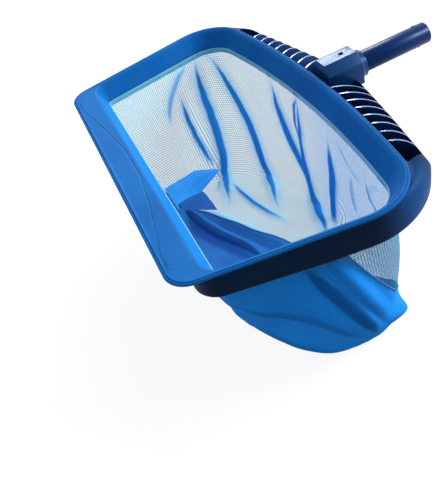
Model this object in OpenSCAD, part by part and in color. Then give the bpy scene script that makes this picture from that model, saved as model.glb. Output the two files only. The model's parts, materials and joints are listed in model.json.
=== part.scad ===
// Leaf skimmer net: a moulded scoop frame with a ribbed back, an octagonal hub
// that holds a pole tube with a sprung button clip, and a deep net bag.
// Millimetres. The mouth lies level and faces up, the lip is at -Y, the pole tube
// points to +Y, and the origin is under the middle of the object, where the bag rests.

/* [Frame outline] */
// Width across the two lip corners, before they are rounded
lip_w = 443; // [400:1:480]
// Width across the two back corners, before they are rounded
back_w = 535; // [500:1:580]
// Depth from the lip edge to a line through the back corners
frame_l = 254; // [225:1:280]
// How far the back bar bows out past that line
bow = 28; // [20:1:36]
// Radius of the lip corners
lip_r = 29; // [26:1:34]
// Radius of the back corners
back_r = 64; // [56:1:72]

/* [Front moulding] */
// How far the sloping inner flank reaches in at the sides
flank_w = 22.5; // [21:0.5:25]
// How far the flank reaches in at the back bar
flank_back_w = 21.5; // [21:0.5:25]
// Drop of the flank below the ridge
flank_h = 22; // [20:0.5:24]
// Depth of the flat scoop lip, up to its step
lip_l = 35; // [28:1:40]
// Depth of the lip up to the mouth
lip_mouth = 46; // [44:1:54]
// Height of the moulding's outer rim
rim_t = 3; // [2.6:0.1:3.6]
// Wall of the mouldings
wall = 2.2; // [2:0.1:2.4]

/* [Rear moulding] */
// Height of the skirt below the ridge, at the back
skirt_h = 36; // [34:1:42]
// Height of the skirt at the lip
skirt_front_h = 27; // [27:1:34]
// How far the skirt flares out at its lower edge
skirt_flare = 1; // [0:0.5:3]
// How far the skirt sits back under the lip edge
skirt_setback = 24; // [18:1:25]
// Reach of the wings behind the ridge at the hub
wing_hub_l = 46; // [44:1:56]
// Reach of the wings at their outer ends
wing_end_l = 28.5; // [24:0.5:32]
// Number of ribs on each wing
wing_ribs = 8; // [6:1:8]
// Pitch of the ribs
rib_pitch = 19.2; // [16:0.2:19.4]
// Thickness of a rib
rib_t = 2.6; // [2:0.1:3.2]
// Lean of the ribs away from straight back
rib_lean = 27; // [15:1:32]

/* [Hub and pole tube] */
// Width of the hub
hub_w = 44; // [42:1:50]
// Height of the hub's top face above the tube's axis
hub_rise = 25; // [20:1:28]
// Depth of the hub's underside below the tube's axis
hub_drop = 18; // [17:0.5:19]
// Width of the hub's sloping facets
hub_facet = 11.5; // [6:0.5:13]
// Length of the hub
hub_l = 52; // [48:1:58]
// Depth of the tube's axis below the ridge
axis_drop = 12; // [10:0.5:14]
// Outside diameter of the pole tube
tube_d = 28; // [26:0.5:30]
// Wall of the pole tube
tube_wall = 2; // [1.5:0.1:2.5]
// Length of the pole tube outside the collar
tube_free_l = 98; // [85:1:130]
// Length of the pole tube inside the hub
tube_in_l = 44; // [38:1:46]
// Step in the tube's radius, where it enters the hub and round its button holes
tube_step = 0.2; // [0.1:0.05:0.4]
// Radial gap where tube, hub and collar slide together
fit_gap = 0.15; // [0.1:0.05:0.25]
// Length of the collar at the hub's mouth
collar_l = 10; // [8:1:14]
// Radius of the collar
collar_r = 18; // [17:0.5:20]

/* [Button clip] */
// Diameter of a button
button_d = 6.2; // [5.5:0.1:6.6]
// Diameter of the tube's button holes
button_hole_d = 8.8; // [8.4:0.1:10]
// How far a button stands out of the tube
button_out = 0.8; // [0.6:0.1:3]
// Distance from the button holes to the tube's end
button_end_l = 14; // [12:1:20]
// Length of the clip's arms, from their bend to the buttons
arm_l = 50; // [45:1:52]
// Thickness of the clip's strip
strip_t = 1; // [0.8:0.1:1.2]
// Width of the clip's strip
strip_w = 8; // [7:0.5:9]

/* [Net bag] */
// Height of the ridge above the bag's underside
bag_drop = 180; // [160:5:240]
// Thickness of the net in this model
net_t = 1.6; // [1.2:0.1:2.4]
// Width of the hem tape that the mouldings clamp
hem_w = 9; // [8:0.5:10]
// Diameter of the bead cord that keeps the hem in the clamp
bead_d = 3.6; // [3:0.1:4]
// Width of the bag's foot
foot_w = 386; // [300:2:390]
// Depth of the bag's foot
foot_l = 190; // [160:5:200]
// How far the foot lies to the right of the middle
foot_x = 60; // [0:5:70]
// How far the foot's middle lies behind the lip edge
foot_y = 152; // [140:2:160]
// Slant of the foot: how far it leans right for each step back
foot_slant = 0.25; // [0:0.05:0.35]

/* [Screws] */
// Shank diameter of the frame screws
screw_d = 2.6; // [2.2:0.1:2.8]
// Head diameter of the frame screws
screw_head_d = 5; // [4:0.1:5.2]

/* [Hidden] */

// ---- outline of the frame ----
lip_n = 3;     // steps along half of the lip
corner_n = 6;  // steps round a lip corner
side_n = 4;    // steps along a side
turn_n = 11;   // steps round a back corner
back_n = 11;   // steps along half of the back bar
gap = 0.3;     // clearance between separate pieces

side_slope = (back_w - lip_w) / 2 / frame_l;
side_ang = atan(side_slope);
bow_r = (pow(back_w / 2, 2) + pow(bow, 2)) / (2 * bow);
bow_y = frame_l + bow - bow_r;
ridge_back_y = frame_l + bow;

// x of a side line that is set in by a distance, at depth y
function side_x(y, inset) = lip_w / 2 + y * side_slope - inset / cos(side_ang);

function lip_centre(y0, inset, r) = [side_x(y0 + r, inset + r), y0 + r];

function back_centre(inset, back_inset, r) =
    let (a = side_x(0, inset + r), m = bow_r - back_inset - r,
         p = 1 + pow(side_slope, 2), q = a * side_slope - bow_y,
         c = a * a + bow_y * bow_y - m * m,
         y = (sqrt(q * q - p * c) - q) / p)
    [side_x(y, inset + r), y];

// half of the outline, from the middle of the lip to the middle of the back bar
function half_loop(y0, inset, back_inset, r1, r2) =
    let (c1 = lip_centre(y0, inset, r1), c2 = back_centre(inset, back_inset, r2),
         a2 = atan2(c2.y - bow_y, c2.x), out = [cos(side_ang), -sin(side_ang)],
         s0 = c1 + r1 * out, s1 = c2 + r2 * out)
    concat(
        [for (k = [0 : lip_n - 1]) [c1.x * k / lip_n, y0]],
        [for (k = [0 : corner_n]) let (t = -90 + (90 - side_ang) * k / corner_n)
            c1 + r1 * [cos(t), sin(t)]],
        [for (k = [1 : side_n - 1]) s0 + (s1 - s0) * k / side_n],
        [for (k = [0 : turn_n]) let (t = -side_ang + (a2 + side_ang) * k / turn_n)
            c2 + r2 * [cos(t), sin(t)]],
        [for (k = [1 : back_n]) let (t = a2 + (90 - a2) * k / back_n)
            [0, bow_y] + (bow_r - back_inset) * [cos(t), sin(t)]]);

// outward direction at each point of the half outline
back_a = let (c = back_centre(0, 0, back_r)) atan2(c.y - bow_y, c.x);
half_out = concat(
    [for (k = [0 : lip_n - 1]) [0, -1]],
    [for (k = [0 : corner_n]) let (t = -90 + (90 - side_ang) * k / corner_n) [cos(t), sin(t)]],
    [for (k = [1 : side_n - 1]) [cos(side_ang), -sin(side_ang)]],
    [for (k = [0 : turn_n]) let (t = -side_ang + (back_a + side_ang) * k / turn_n)
        [cos(t), sin(t)]],
    [for (k = [1 : back_n]) let (t = back_a + (90 - back_a) * k / back_n) [cos(t), sin(t)]]);

// closes a half outline with its mirror image
function whole(h) = concat(h, [for (k = [len(h) - 2 : -1 : 1]) [-h[k].x, h[k].y]]);
function whole_values(h) = concat(h, [for (k = [len(h) - 2 : -1 : 1]) h[k]]);

function lifted(pts, z) = [for (p = pts) [p.x, p.y, z]];

// a closed outline at one height, set in from the ridge's outer edge
function ring(y0, inset, back_inset, r1, z) =
    lifted(whole(half_loop(y0, inset, back_inset, r1, back_r - (inset + back_inset) / 2)), z);

// a solid between closed rings that follow each other round its section, outwards
// over the top and back underneath
module ring_solid(rings) {
    n = len(rings[0]);
    s = len(rings);
    polyhedron([for (r = rings) each r],
        [for (j = [0 : s - 1], k = [0 : n - 1])
            let (a = j * n + k, b = j * n + (k + 1) % n,
                 c = (j + 1) % s * n + (k + 1) % n, d = (j + 1) % s * n + k)
            each [[a, b, c], [a, c, d]]]);
}

// ---- wings ----
turn_0 = lip_n + corner_n + 1 + side_n - 1;   // first point of a back corner
half_len = turn_0 + turn_n + 1 + back_n;
hub_pad = hub_w / 2 + 8;                      // half width of the hub's saddle
wing_fade = 190;                              // length over which the wing narrows

function wing_reach(x) =
    wing_end_l + (wing_hub_l - wing_end_l) * pow(1 - min(1, max(0, abs(x) - hub_pad) / wing_fade), 1.5);

half_base = half_loop(0, 0, 0, lip_r, back_r);
// share of the wing's section at each point, from 0 on the sides to 1 at the back
half_wing = [for (k = [0 : half_len - 1])
    k <= turn_0 ? 0 : k >= turn_0 + turn_n ? 1 : pow((k - turn_0) / turn_n, 2.3)];
wing = whole_values(half_wing);
wing_l = whole_values([for (p = half_base) wing_reach(p.x)]);
outward = whole(half_out);
skirt_r = lip_r - 3;
skirt_base = whole(half_loop(skirt_setback, 0, 0, skirt_r, back_r));
skirt_even_y = 150;                           // behind here the skirt has its full height
lip_sink = 1.4;                               // the skirt's top lies this much lower under the lip
skirt_z = [for (p = skirt_base) -skirt_front_h - (skirt_h - skirt_front_h) * min(1, p.y / skirt_even_y)];

// A ring of the rear moulding's outer surface. On the sides it stands out by a
// fixed distance; on the wings by a share of the wing's reach plus a distance.
// Heights are given for both, and left out at the lower edge.
function wing_ring(side_out, share, add, z_side, z_wing) =
    [for (k = [0 : len(skirt_base) - 1])
        let (u = wing[k], v = min(1, 2.5 * u), p = skirt_base[k]
                 + ((1 - u) * side_out + u * (share * wing_l[k] + add)) * outward[k])
        [p.x, p.y, is_undef(z_side) ? skirt_z[k] : z_side + (z_wing - z_side) * v]];

// the rear moulding's top edge, which dips under the lip
function top_ring(z_side, z_wing) =
    [for (p = wing_ring(0, 0, 0, z_side, z_wing))
        [p.x, p.y, p.z - lip_sink * min(1, max(0, (skirt_setback + 16 - p.y) / 10))]];

// plan view of the pocket behind rib i
back_c = back_centre(0, 0, back_r);
function rib_x(i) = hub_pad + 1 + rib_pitch * i;
function ridge_y(x) = bow_y + sqrt(bow_r * bow_r - x * x);
function rib_point(x, out) = [x + out * tan(rib_lean), ridge_y(x) + out];
function corner_point(a, out) = back_c + (back_r + out) * [cos(a), sin(a)];
function pocket_end(x) = wing_reach(x + 14) - 4;
pocket_start = 1.4;
module pocket(i) {
    a = rib_x(i) + rib_t / 2;
    b = rib_x(i + 1) - rib_t / 2;
    translate([0, 0, -skirt_h + 2 * wall])
        linear_extrude(skirt_h)
            polygon(concat([rib_point(a, pocket_start)],
                i < wing_ribs - 1
                    ? [rib_point(b, pocket_start), rib_point(b, pocket_end(b))]
                    : [for (x = [a + 10 : 10 : back_c.x + 1]) [x, ridge_y(x) + pocket_start],
                       corner_point(80, pocket_start), corner_point(77, 4),
                       corner_point(82, 14), corner_point(88, pocket_end(a))],
                [rib_point(a, pocket_end(a))]));
}

// the narrow pocket between the hub and the first rib
module hub_pocket() {
    a = hub_w / 2 - wall;
    b = rib_x(0) - rib_t / 2;
    translate([0, 0, -skirt_h + 2 * wall])
        linear_extrude(skirt_h)
            polygon([[a, ridge_back_y + pocket_start], rib_point(b, pocket_start),
                     rib_point(b, pocket_end(b)), [a, ridge_back_y + pocket_end(b)]]);
}

// plan view of the hollow under a back corner of the rear moulding
module corner_hollow() {
    from_a = 25;
    to_a = 72;
    steps = 6;
    function at(k) = from_a + (to_a - from_a) * k / steps;
    function reach_at(a) = wing_end_l * pow((a + side_ang) / 90, 2.3) - 3.5;
    translate([0, 0, -skirt_h - 1])
        linear_extrude(skirt_h - 16)
            polygon(concat([for (k = [0 : steps]) corner_point(at(k), pocket_start)],
                           [for (k = [steps : -1 : 0])
                               corner_point(at(k), pocket_start + max(0.5, reach_at(at(k))))]));
}

// ---- where the pieces lie ----
tube_r = tube_d / 2;
tube_in_r = tube_r - tube_wall;
spigot_r = tube_r - tube_step;
hub_y0 = ridge_back_y + 3;
hub_y1 = hub_y0 + hub_l;
collar_y1 = hub_y1 + collar_l;
tube_y0 = hub_y1 - tube_in_l;
tube_y1 = collar_y1 + tube_free_l;
button_y = tube_y1 - button_end_l;
relief_y = button_y - button_hole_d / 2 - 3;  // from here to the end the tube is a little thinner
bend_y = button_y - arm_l;
clip_turn = -22;                              // the clip's buttons point up and a little left
hub_screw_in = 36;                            // from the hub's nose to its screw
hub_screw_y = hub_y0 + hub_screw_in;
hub_screw_z = hub_rise - axis_drop - 5;       // underside of the hub screw's head
holder_l = 16;
net_in = 2.6;                                 // the net hangs this far inside the mouth
hem_in = net_in + net_t + 0.2;                // the hem covers the net's upper edge
hem_out = hem_in - hem_w - net_in;
hem_top = -flank_h - wall - 0.1;
hem_t = 0.8;
flange_top = hem_top - hem_t - 0.1;
flange_t = 1.6;
flange_bottom = flange_top - flange_t;
length_all = tube_y1;

// the frame's own axes: mouth at z = 0, lip edge at y = 0
module from_ridge() {
    translate([0, -length_all / 2, bag_drop]) children();
}

// the tube's axis lies along y, with local z along the clip's buttons
module on_axis(y = 0) {
    translate([0, y, -axis_drop]) rotate([0, clip_turn, 0]) children();
}

module along_y(r, l) {
    rotate([-90, 0, 0]) cylinder(r = r, h = l, $fn = 64);
}

boss_r = 2.6;
screw_head_h = 1.8;
screw_l = 14;                                 // length of a frame screw under its head
boss_in = wall + boss_r + 0.9;                // from the outer edge to a boss's middle

saddle_sink = screw_head_h + 0.4;             // depth of the counterbores under the saddle
saddle_screw_l = 12;
saddle_in = [12, 38];                         // from the hub's nose to the saddle screws
saddle_spots = [for (x = [-1, 1], y = saddle_in) [x * (hub_w / 2 - 4), hub_y0 + y]];

// places of the frame screws: under the ridge, or under the lip
function screw_spot(k) = half_loop(skirt_setback + 8, boss_in, boss_in, skirt_r, back_r - boss_in)[k];
screw_keys = [1, lip_n + corner_n + 2, turn_0 - 1, turn_0 + 7, turn_0 + turn_n + 6];
screw_spots = [for (k = screw_keys) let (p = screw_spot(k)) each [p, [-p.x, p.y]]];

// ---- mouldings ----
module front_frame() {
    color("#2f72c4") from_ridge() difference() {
        union() {
            ring_solid([
                ring(3.4, 2.6, 2.6, lip_r - 2.6, -rim_t),
                ring(12, 4.6, 4.6, lip_r - 4.6, -0.5 - wall),
                ring(lip_l - 2, 6.6, 6.6, lip_r - 7, -2.6 - wall * 1.2),
                ring(lip_mouth - 2, flank_w - 2, flank_back_w - 2, 8, -flank_h - wall),
                ring(lip_mouth, flank_w, flank_back_w, 6.5, -flank_h - wall),
                ring(lip_mouth, flank_w, flank_back_w, 6.5, -flank_h),
                ring(lip_mouth - 0.6, flank_w - 0.6, flank_back_w - 0.6, 7, -flank_h + 0.6),
                ring(lip_l, 8.4, 8.4, lip_r - 8, -2.6),
                ring(12, 6.4, 6.4, lip_r - 6, -0.5),
                ring(4, 3.6, 3.6, lip_r - 3, 0),
                ring(1.4, 1.4, 1.4, lip_r - 1.4, -0.3),
                ring(0, 0, 0, lip_r, -1.4),
                ring(0, 0, 0, lip_r, -rim_t)
            ]);
            for (p = screw_spots)
                translate([p.x, p.y, flange_top + 0.05])
                    cylinder(r = boss_r, h = -flange_top - 2.4, $fn = 32);
        }
        for (p = screw_spots)
            translate([p.x, p.y, flange_top - 1])
                cylinder(d = screw_d + 0.2, h = screw_l + 0.4, $fn = 24);
    }
}

module rear_frame() {
    color("#1f58a8") from_ridge() difference() {
        ring_solid([
            top_ring(-rim_t - gap, -rim_t - 1.4),
            wing_ring(0.1 * skirt_flare, 0, 3, -6, -rim_t - 1.2),
            wing_ring(0.2 * skirt_flare, 0.25, 1.5, -9, -rim_t - 1.2),
            wing_ring(0.35 * skirt_flare, 0.5, 0, -12, -6.2),
            wing_ring(0.5 * skirt_flare, 0.7, 0, -15, -9.8),
            wing_ring(0.6 * skirt_flare, 0.85, 0, -18, -14),
            wing_ring(0.75 * skirt_flare, 0.95, 0, -22, -19),
            wing_ring(0.9 * skirt_flare, 1, 0, -25, -25),
            wing_ring(skirt_flare, 0.92, 0),
            wing_ring(skirt_flare - wall, 0.92, -wall - 1),
            wing_ring(-wall, 0, pocket_start + 2 * wall, flange_bottom - 0.2, -skirt_h + wall / 2),
            ring(skirt_setback + wall + 0.2, wall + 0.2, wall + 0.2, skirt_r - wall, flange_bottom),
            ring(lip_mouth, flank_w, flank_back_w, 6.5, flange_bottom),
            ring(lip_mouth, flank_w, flank_back_w, 6.5, flange_top),
            ring(skirt_setback + wall + 0.6, wall + 0.6, wall + 0.6, skirt_r - wall, flange_top),
            ring(skirt_setback + wall, wall, wall, skirt_r - wall, -rim_t - 2)
        ]);
        for (side = [0, 1]) mirror([side, 0, 0]) {
            for (i = [0 : wing_ribs - 1]) pocket(i);
            hub_pocket();
            corner_hollow();
        }
        // seat for the hub
        translate([-hub_w / 2 - gap, hub_y0 - gap, -axis_drop - hub_drop - gap])
            cube([hub_w + 2 * gap, wing_hub_l + 20, 2 * hub_rise]);
        for (p = saddle_spots) translate([p.x, p.y, -skirt_h]) {
            translate([0, 0, -1]) cylinder(d = screw_d + 0.4, h = 12, $fn = 24);
            translate([0, 0, -3]) cylinder(d = screw_head_d + 0.6, h = saddle_sink + 3, $fn = 32);
        }
        for (p = screw_spots) translate([p.x, p.y, -skirt_h - 1])
            cylinder(d = screw_d + 0.4, h = 20, $fn = 24);
    }
}

// the hub's section: flat on top, with sloping shoulders
module hub_bar(l) {
    w = hub_w / 2;
    f = hub_facet;
    translate([0, l, 0]) rotate([90, 0, 0]) linear_extrude(l)
        polygon([[-w + 3, -hub_drop], [w - 3, -hub_drop], [w, -hub_drop + 3], [w, hub_rise - f],
                 [w - f, hub_rise], [-w + f, hub_rise], [-w, hub_rise - f], [-w, -hub_drop + 3]]);
}

module frame_screws() {
    color("silver") from_ridge() for (p = screw_spots)
        translate([p.x, p.y, flange_bottom]) {
            cylinder(d = screw_d, h = screw_l, $fn = 24);
            translate([0, 0, -screw_head_h]) cylinder(d = screw_head_d, h = screw_head_h, $fn = 32);
        }
}

// ---- hub and pole tube ----
nose_slant = 6;                               // how far the nose's top is set back

module hub() {
    color("#2b66b6") from_ridge() difference() {
        translate([0, hub_y0, -axis_drop]) hub_bar(hub_l);
        // slanted nose
        translate([0, hub_y0 + nose_slant, hub_rise - axis_drop])
            rotate([-atan(nose_slant / (hub_rise + hub_drop)), 0, 0])
                translate([-hub_w, -hub_l, -hub_rise - hub_drop])
                    cube([2 * hub_w, hub_l, 3 * hub_rise]);
        translate([0, tube_y0, -axis_drop]) along_y(spigot_r + fit_gap, tube_in_l + 1);
        translate([0, hub_screw_y, 0]) {
            translate([0, 0, -axis_drop]) cylinder(r = 2.2, h = 2 * hub_rise, $fn = 24);
            translate([0, 0, hub_screw_z]) cylinder(r = 3.4, h = 10, $fn = 32);
        }
        for (p = saddle_spots) translate([p.x, p.y, -axis_drop - hub_drop - 1])
            cylinder(d = screw_d + 0.2, h = saddle_screw_l, $fn = 24);
    }
}

module hub_collar() {
    color("#2b66b6") from_ridge() translate([0, hub_y1 + 0.05, -axis_drop]) difference() {
        rotate([-90, 0, 0]) union() {
            cylinder(r1 = hub_w / 2 - 1, r2 = collar_r + 1, h = collar_l * 0.45, $fn = 64);
            cylinder(r = collar_r, h = collar_l, $fn = 64);
        }
        translate([0, -1, 0]) along_y(spigot_r + fit_gap, collar_l + 2);
    }
}

module hub_screw() {
    color("silver") from_ridge() translate([0, hub_screw_y, 0]) {
        translate([0, 0, hub_screw_z]) cylinder(r = 3.1, h = 2, $fn = 32);
        translate([0, 0, tube_in_r - axis_drop - 3])
            cylinder(r = 1.8, h = hub_screw_z - tube_in_r + axis_drop + 3, $fn = 24);
    }
}

module saddle_screws() {
    color("silver") from_ridge() for (p = saddle_spots)
        translate([p.x, p.y, -skirt_h + saddle_sink]) {
            translate([0, 0, -screw_head_h]) cylinder(d = screw_head_d, h = screw_head_h, $fn = 32);
            cylinder(d = screw_d, h = saddle_screw_l, $fn = 24);
        }
}

module pole_tube() {
    color("#2460b0") from_ridge() difference() {
        union() {
            translate([0, tube_y0 + 0.2, -axis_drop]) along_y(spigot_r, tube_y1 - tube_y0 - 0.2);
            translate([0, collar_y1 + gap, -axis_drop]) along_y(tube_r, relief_y - collar_y1 - gap);
        }
        translate([0, tube_y0 - 1, -axis_drop]) along_y(tube_in_r, tube_y1 - tube_y0 + 2);
        on_axis(button_y) translate([0, 0, -tube_r - 5])
            cylinder(d = button_hole_d, h = tube_d + 10, $fn = 48);
        on_axis(holder_pin_y) translate([0, 0, -tube_r - 5])
            cylinder(r = pin_r + 0.1, h = tube_d + 10, $fn = 24);
        translate([0, hub_screw_y, -axis_drop]) cylinder(r = 2, h = tube_d, $fn = 24);
    }
}

// ---- button clip ----
pin_r = 1.6;
leg_gap = 4;                                  // the bend's legs stand this far apart
arm_start = leg_gap / 2;
holder_y1 = bend_y + 0.5;
holder_y0 = holder_y1 - holder_l;
holder_pin_y = holder_y0 + 4.5;
arm_end_z = tube_in_r - 3.2;                  // height of the arm under its button
button_r = button_d / 2;

module clip_holder() {
    color("#303840") from_ridge() difference() {
        on_axis(holder_y0) along_y(tube_in_r - fit_gap, holder_l);
        on_axis(holder_y0 + 7.2) translate([-strip_w / 2 - gap, 0, -leg_gap / 2 - strip_t - gap])
            cube([strip_w + 2 * gap, holder_l, leg_gap + 2 * strip_t + 2 * gap]);
        on_axis(holder_pin_y) translate([0, 0, -tube_r]) cylinder(r = pin_r + 0.1, h = tube_d, $fn = 24);
    }
}

module holder_pin() {
    color("silver") from_ridge() on_axis(holder_pin_y)
        translate([0, 0, -tube_r + 0.4]) cylinder(r = pin_r, h = tube_d - 0.8, $fn = 24);
}

// the strip's bend and its two short legs, held in the holder
module clip_bend() {
    r_out = leg_gap / 2 + strip_t;
    bend_c = holder_y0 + 7.4 + r_out;
    color("silver") from_ridge() on_axis() translate([-strip_w / 2, 0, 0])
        rotate([90, 0, 90]) linear_extrude(strip_w) {
            difference() {
                translate([bend_c, 0]) circle(r = r_out, $fn = 48);
                translate([bend_c, 0]) circle(r = leg_gap / 2, $fn = 48);
                translate([bend_c, -r_out - 1]) square(2 * r_out + 2);
            }
            for (z = [arm_start, -arm_start - strip_t])
                translate([bend_c, z]) square([bend_y - gap - bend_c, strip_t]);
        }
}

// one springy arm, from the bend to the button's foot
module clip_arm(up) {
    dz = arm_end_z - arm_start;
    color("silver") from_ridge() on_axis() mirror([0, 0, up ? 0 : 1])
        translate([-strip_w / 2, 0, 0]) rotate([90, 0, 90]) linear_extrude(strip_w)
            polygon([[bend_y, arm_start], [bend_y + arm_l - 5, arm_start + dz],
                     [bend_y + arm_l + 5, arm_start + dz], [bend_y + arm_l + 5, arm_start + dz + strip_t],
                     [bend_y + arm_l - 5, arm_start + dz + strip_t], [bend_y, arm_start + strip_t]]);
}

// one button, with a domed head that stands in the tube's hole
module clip_button(up) {
    z0 = arm_end_z + strip_t;
    dome = 1.6;
    shaft = tube_r + button_out - dome - z0;
    head_r = (button_r * button_r + dome * dome) / (2 * dome);
    color("#20303c") from_ridge() on_axis(button_y) mirror([0, 0, up ? 0 : 1])
        translate([0, 0, z0]) {
            cylinder(r = button_r, h = shaft, $fn = 48);
            intersection() {
                translate([0, 0, shaft]) cylinder(r = button_r, h = dome + 1, $fn = 48);
                translate([0, 0, shaft + dome - head_r]) sphere(r = head_r, $fn = 48);
            }
        }
}

module clip_arm_upper() { clip_arm(true); }
module clip_arm_lower() { clip_arm(false); }
module clip_button_upper() { clip_button(true); }
module clip_button_lower() { clip_button(false); }

// ---- net ----
// one closed outline of the hem or the net's edge, at one height
function hem_ring(inset, z) = ring(lip_mouth + inset, flank_w + inset, flank_back_w + inset,
                                   max(2, 6.5 - inset), z);

module hem_tape() {
    color("#2a93e0") from_ridge() ring_solid([
        hem_ring(hem_in, hem_top - hem_t), hem_ring(hem_in, hem_top),
        hem_ring(hem_out, hem_top), hem_ring(hem_out, hem_top - hem_t)]);
}

// the bead cord lies behind the hem, on the rear moulding's flange
module bead_cord() {
    r = bead_d / 2;
    inset = hem_out - 0.2 - r;
    color("#1d5fae") from_ridge() ring_solid([for (a = [0 : 45 : 315])
        hem_ring(inset + r * cos(a), flange_top + 0.15 + r + r * sin(a))]);
}

// outline of the bag's foot, with as many points as the mouth
mouth = whole(half_loop(lip_mouth + net_in, flank_w + net_in, flank_back_w + net_in, 5, back_r - 25));
mouth_n = len(mouth);
mouth_c = [0, (lip_mouth + ridge_back_y) / 2];
// a slanted, rounded oblong
function foot_point(p) =
    let (d = [(p.x - mouth_c.x) / (back_w / 2), (p.y - mouth_c.y) / (frame_l / 2 - 12)],
         a = atan2(d.y, d.x), c = cos(a), s = sin(a),
         x = foot_w / 2 * sign(c) * pow(abs(c), 0.8), y = foot_l / 2 * sign(s) * pow(abs(s), 0.8))
    [foot_x + x + foot_slant * y, foot_y + y];
foot_c = [foot_x, foot_y];
net_top = hem_top - hem_t - 0.1;
levels = 6;
// point k of the bag's skin at level v, from 0 at the mouth to 1 at the foot
function net_point(k, v, inset) =
    let (m = mouth[k], f = foot_point(m), s = v * v * (3 - 2 * v) * 0.55 + v * 0.45,
         p = m + (f - m) * s, c = mouth_c + (foot_c - mouth_c) * s, d = p - c,
         belly = 10 * sin(180 * v) / norm(d), q = c + d * (1 + belly - inset / norm(d)))
    [q.x, q.y, net_top + (-bag_drop + net_t + gap - net_top) * v];

// a sheet of net between two columns of the bag
module net_sheet(k0, k1) {
    cols = k1 - k0;
    w = cols + 1;
    at = function(i, j, inset) let (p = net_point((k0 + i + mouth_n) % mouth_n, j / levels, inset)) p;
    n = w * (levels + 1);
    points = concat([for (j = [0 : levels], i = [0 : cols]) at(i, j, 0)],
                    [for (j = [0 : levels], i = [0 : cols]) at(i, j, net_t)]);
    function quad(a, b, c, d) = [[a, b, c], [a, c, d]];
    faces = concat(
        [for (j = [0 : levels - 1], i = [0 : cols - 1]) let (a = j * w + i)
            each concat(quad(a, a + 1, a + w + 1, a + w),
                        quad(n + a, n + a + w, n + a + w + 1, n + a + 1))],
        [for (i = [0 : cols - 1]) let (a = i, b = levels * w + i)
            each concat(quad(a, n + a, n + a + 1, a + 1), quad(b, b + 1, n + b + 1, n + b))],
        [for (j = [0 : levels - 1]) let (a = j * w, b = j * w + cols)
            each concat(quad(a, a + w, n + a + w, n + a), quad(b, n + b, n + b + w, b + w))]);
    polyhedron(points, faces);
}

seam_far = mouth_n - lip_n - 3;               // column of the seam at the far lip corner
seam_near = lip_n + corner_n + 3;             // column of the seam on the near side

module bag_mesh_panel() {
    color("#bcd3de") from_ridge() net_sheet(seam_near, seam_far);
}

module bag_front_panel() {
    color("#1c6cc4") from_ridge() net_sheet(seam_far - mouth_n, seam_near);
}

module bag_base_panel() {
    color("#175fb0") from_ridge() translate([0, 0, -bag_drop])
        linear_extrude(net_t) polygon([for (k = [0 : mouth_n - 1])
            let (p = net_point(k, 1, 0)) [p.x, p.y]]);
}

// the seam tapes start below the rear moulding's flange and end above the foot
tape_r = 1;
tape_out = 2.2;                               // how far outside the net a tape's middle lies
tape_from = (net_top - flange_bottom + tape_r + gap) / (bag_drop + net_top);
module bag_seam_tapes() {
    v = concat([tape_from], [for (j = [1 : levels]) j / levels]);
    color("#134a8e") from_ridge() for (k = [seam_near, seam_far])
        for (j = [0 : levels - 1]) hull() for (at = [v[j], v[j + 1]])
            let (p = net_point(k, at, -tape_out)) translate([p.x, p.y, max(p.z, 3 - bag_drop)])
                sphere(r = tape_r, $fn = 6);
}

front_frame();
rear_frame();
frame_screws();
hem_tape();
bead_cord();
bag_mesh_panel();
bag_front_panel();
bag_base_panel();
bag_seam_tapes();
hub();
hub_collar();
hub_screw();
saddle_screws();
pole_tube();
clip_holder();
holder_pin();
clip_bend();
clip_arm_upper();
clip_arm_lower();
clip_button_upper();
clip_button_lower();
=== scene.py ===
# Leaf skimmer net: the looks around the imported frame. Metres, +Z up, lip at -Y, pole tube at +Y.
import json
import math

import bpy
from mathutils import Matrix, Vector, kdtree

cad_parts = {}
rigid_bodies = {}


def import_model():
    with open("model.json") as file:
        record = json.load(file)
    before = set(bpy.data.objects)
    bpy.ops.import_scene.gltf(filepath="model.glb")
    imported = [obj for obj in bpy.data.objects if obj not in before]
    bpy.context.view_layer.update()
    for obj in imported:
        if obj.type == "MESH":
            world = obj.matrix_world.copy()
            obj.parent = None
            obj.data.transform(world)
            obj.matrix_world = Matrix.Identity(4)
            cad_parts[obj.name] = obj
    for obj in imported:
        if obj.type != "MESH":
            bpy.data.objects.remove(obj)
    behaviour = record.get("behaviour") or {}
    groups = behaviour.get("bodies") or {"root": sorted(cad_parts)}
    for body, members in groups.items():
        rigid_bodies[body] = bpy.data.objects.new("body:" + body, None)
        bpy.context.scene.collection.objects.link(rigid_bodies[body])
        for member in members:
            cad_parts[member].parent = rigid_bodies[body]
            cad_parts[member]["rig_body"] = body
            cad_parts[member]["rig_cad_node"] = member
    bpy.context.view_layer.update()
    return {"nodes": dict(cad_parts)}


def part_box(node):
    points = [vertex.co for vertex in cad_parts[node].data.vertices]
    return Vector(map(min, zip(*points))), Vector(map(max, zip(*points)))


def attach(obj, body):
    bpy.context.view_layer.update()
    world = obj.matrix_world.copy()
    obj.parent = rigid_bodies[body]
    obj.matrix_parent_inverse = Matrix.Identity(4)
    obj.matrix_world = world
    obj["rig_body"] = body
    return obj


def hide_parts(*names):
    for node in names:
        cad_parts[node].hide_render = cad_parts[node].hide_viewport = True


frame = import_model()
nodes = frame["nodes"]
bpy.ops.object.select_all(action="DESELECT")

mm = 0.001
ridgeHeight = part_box("front_frame")[1].z
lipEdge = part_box("front_frame")[0].y


def inFrame(x, y, z):
    # sizes are in millimetres from the lip's edge and the ridge
    return Vector((x * mm, y * mm + lipEdge, z * mm + ridgeHeight))


def bodyPlace(co):
    # back to millimetres from the lip's edge and the ridge
    return co.x / mm, (co.y - lipEdge) / mm, (co.z - ridgeHeight) / mm


def smooth(t):
    t = min(1.0, max(0.0, t))
    return t * t * (3 - 2 * t)


def mix(a, b, t):
    return a + (b - a) * t


def rampUp(value, edge):
    # from 0 at the edge's place to 1 past its width
    return smooth((value - edge[0]) / edge[1])


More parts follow.
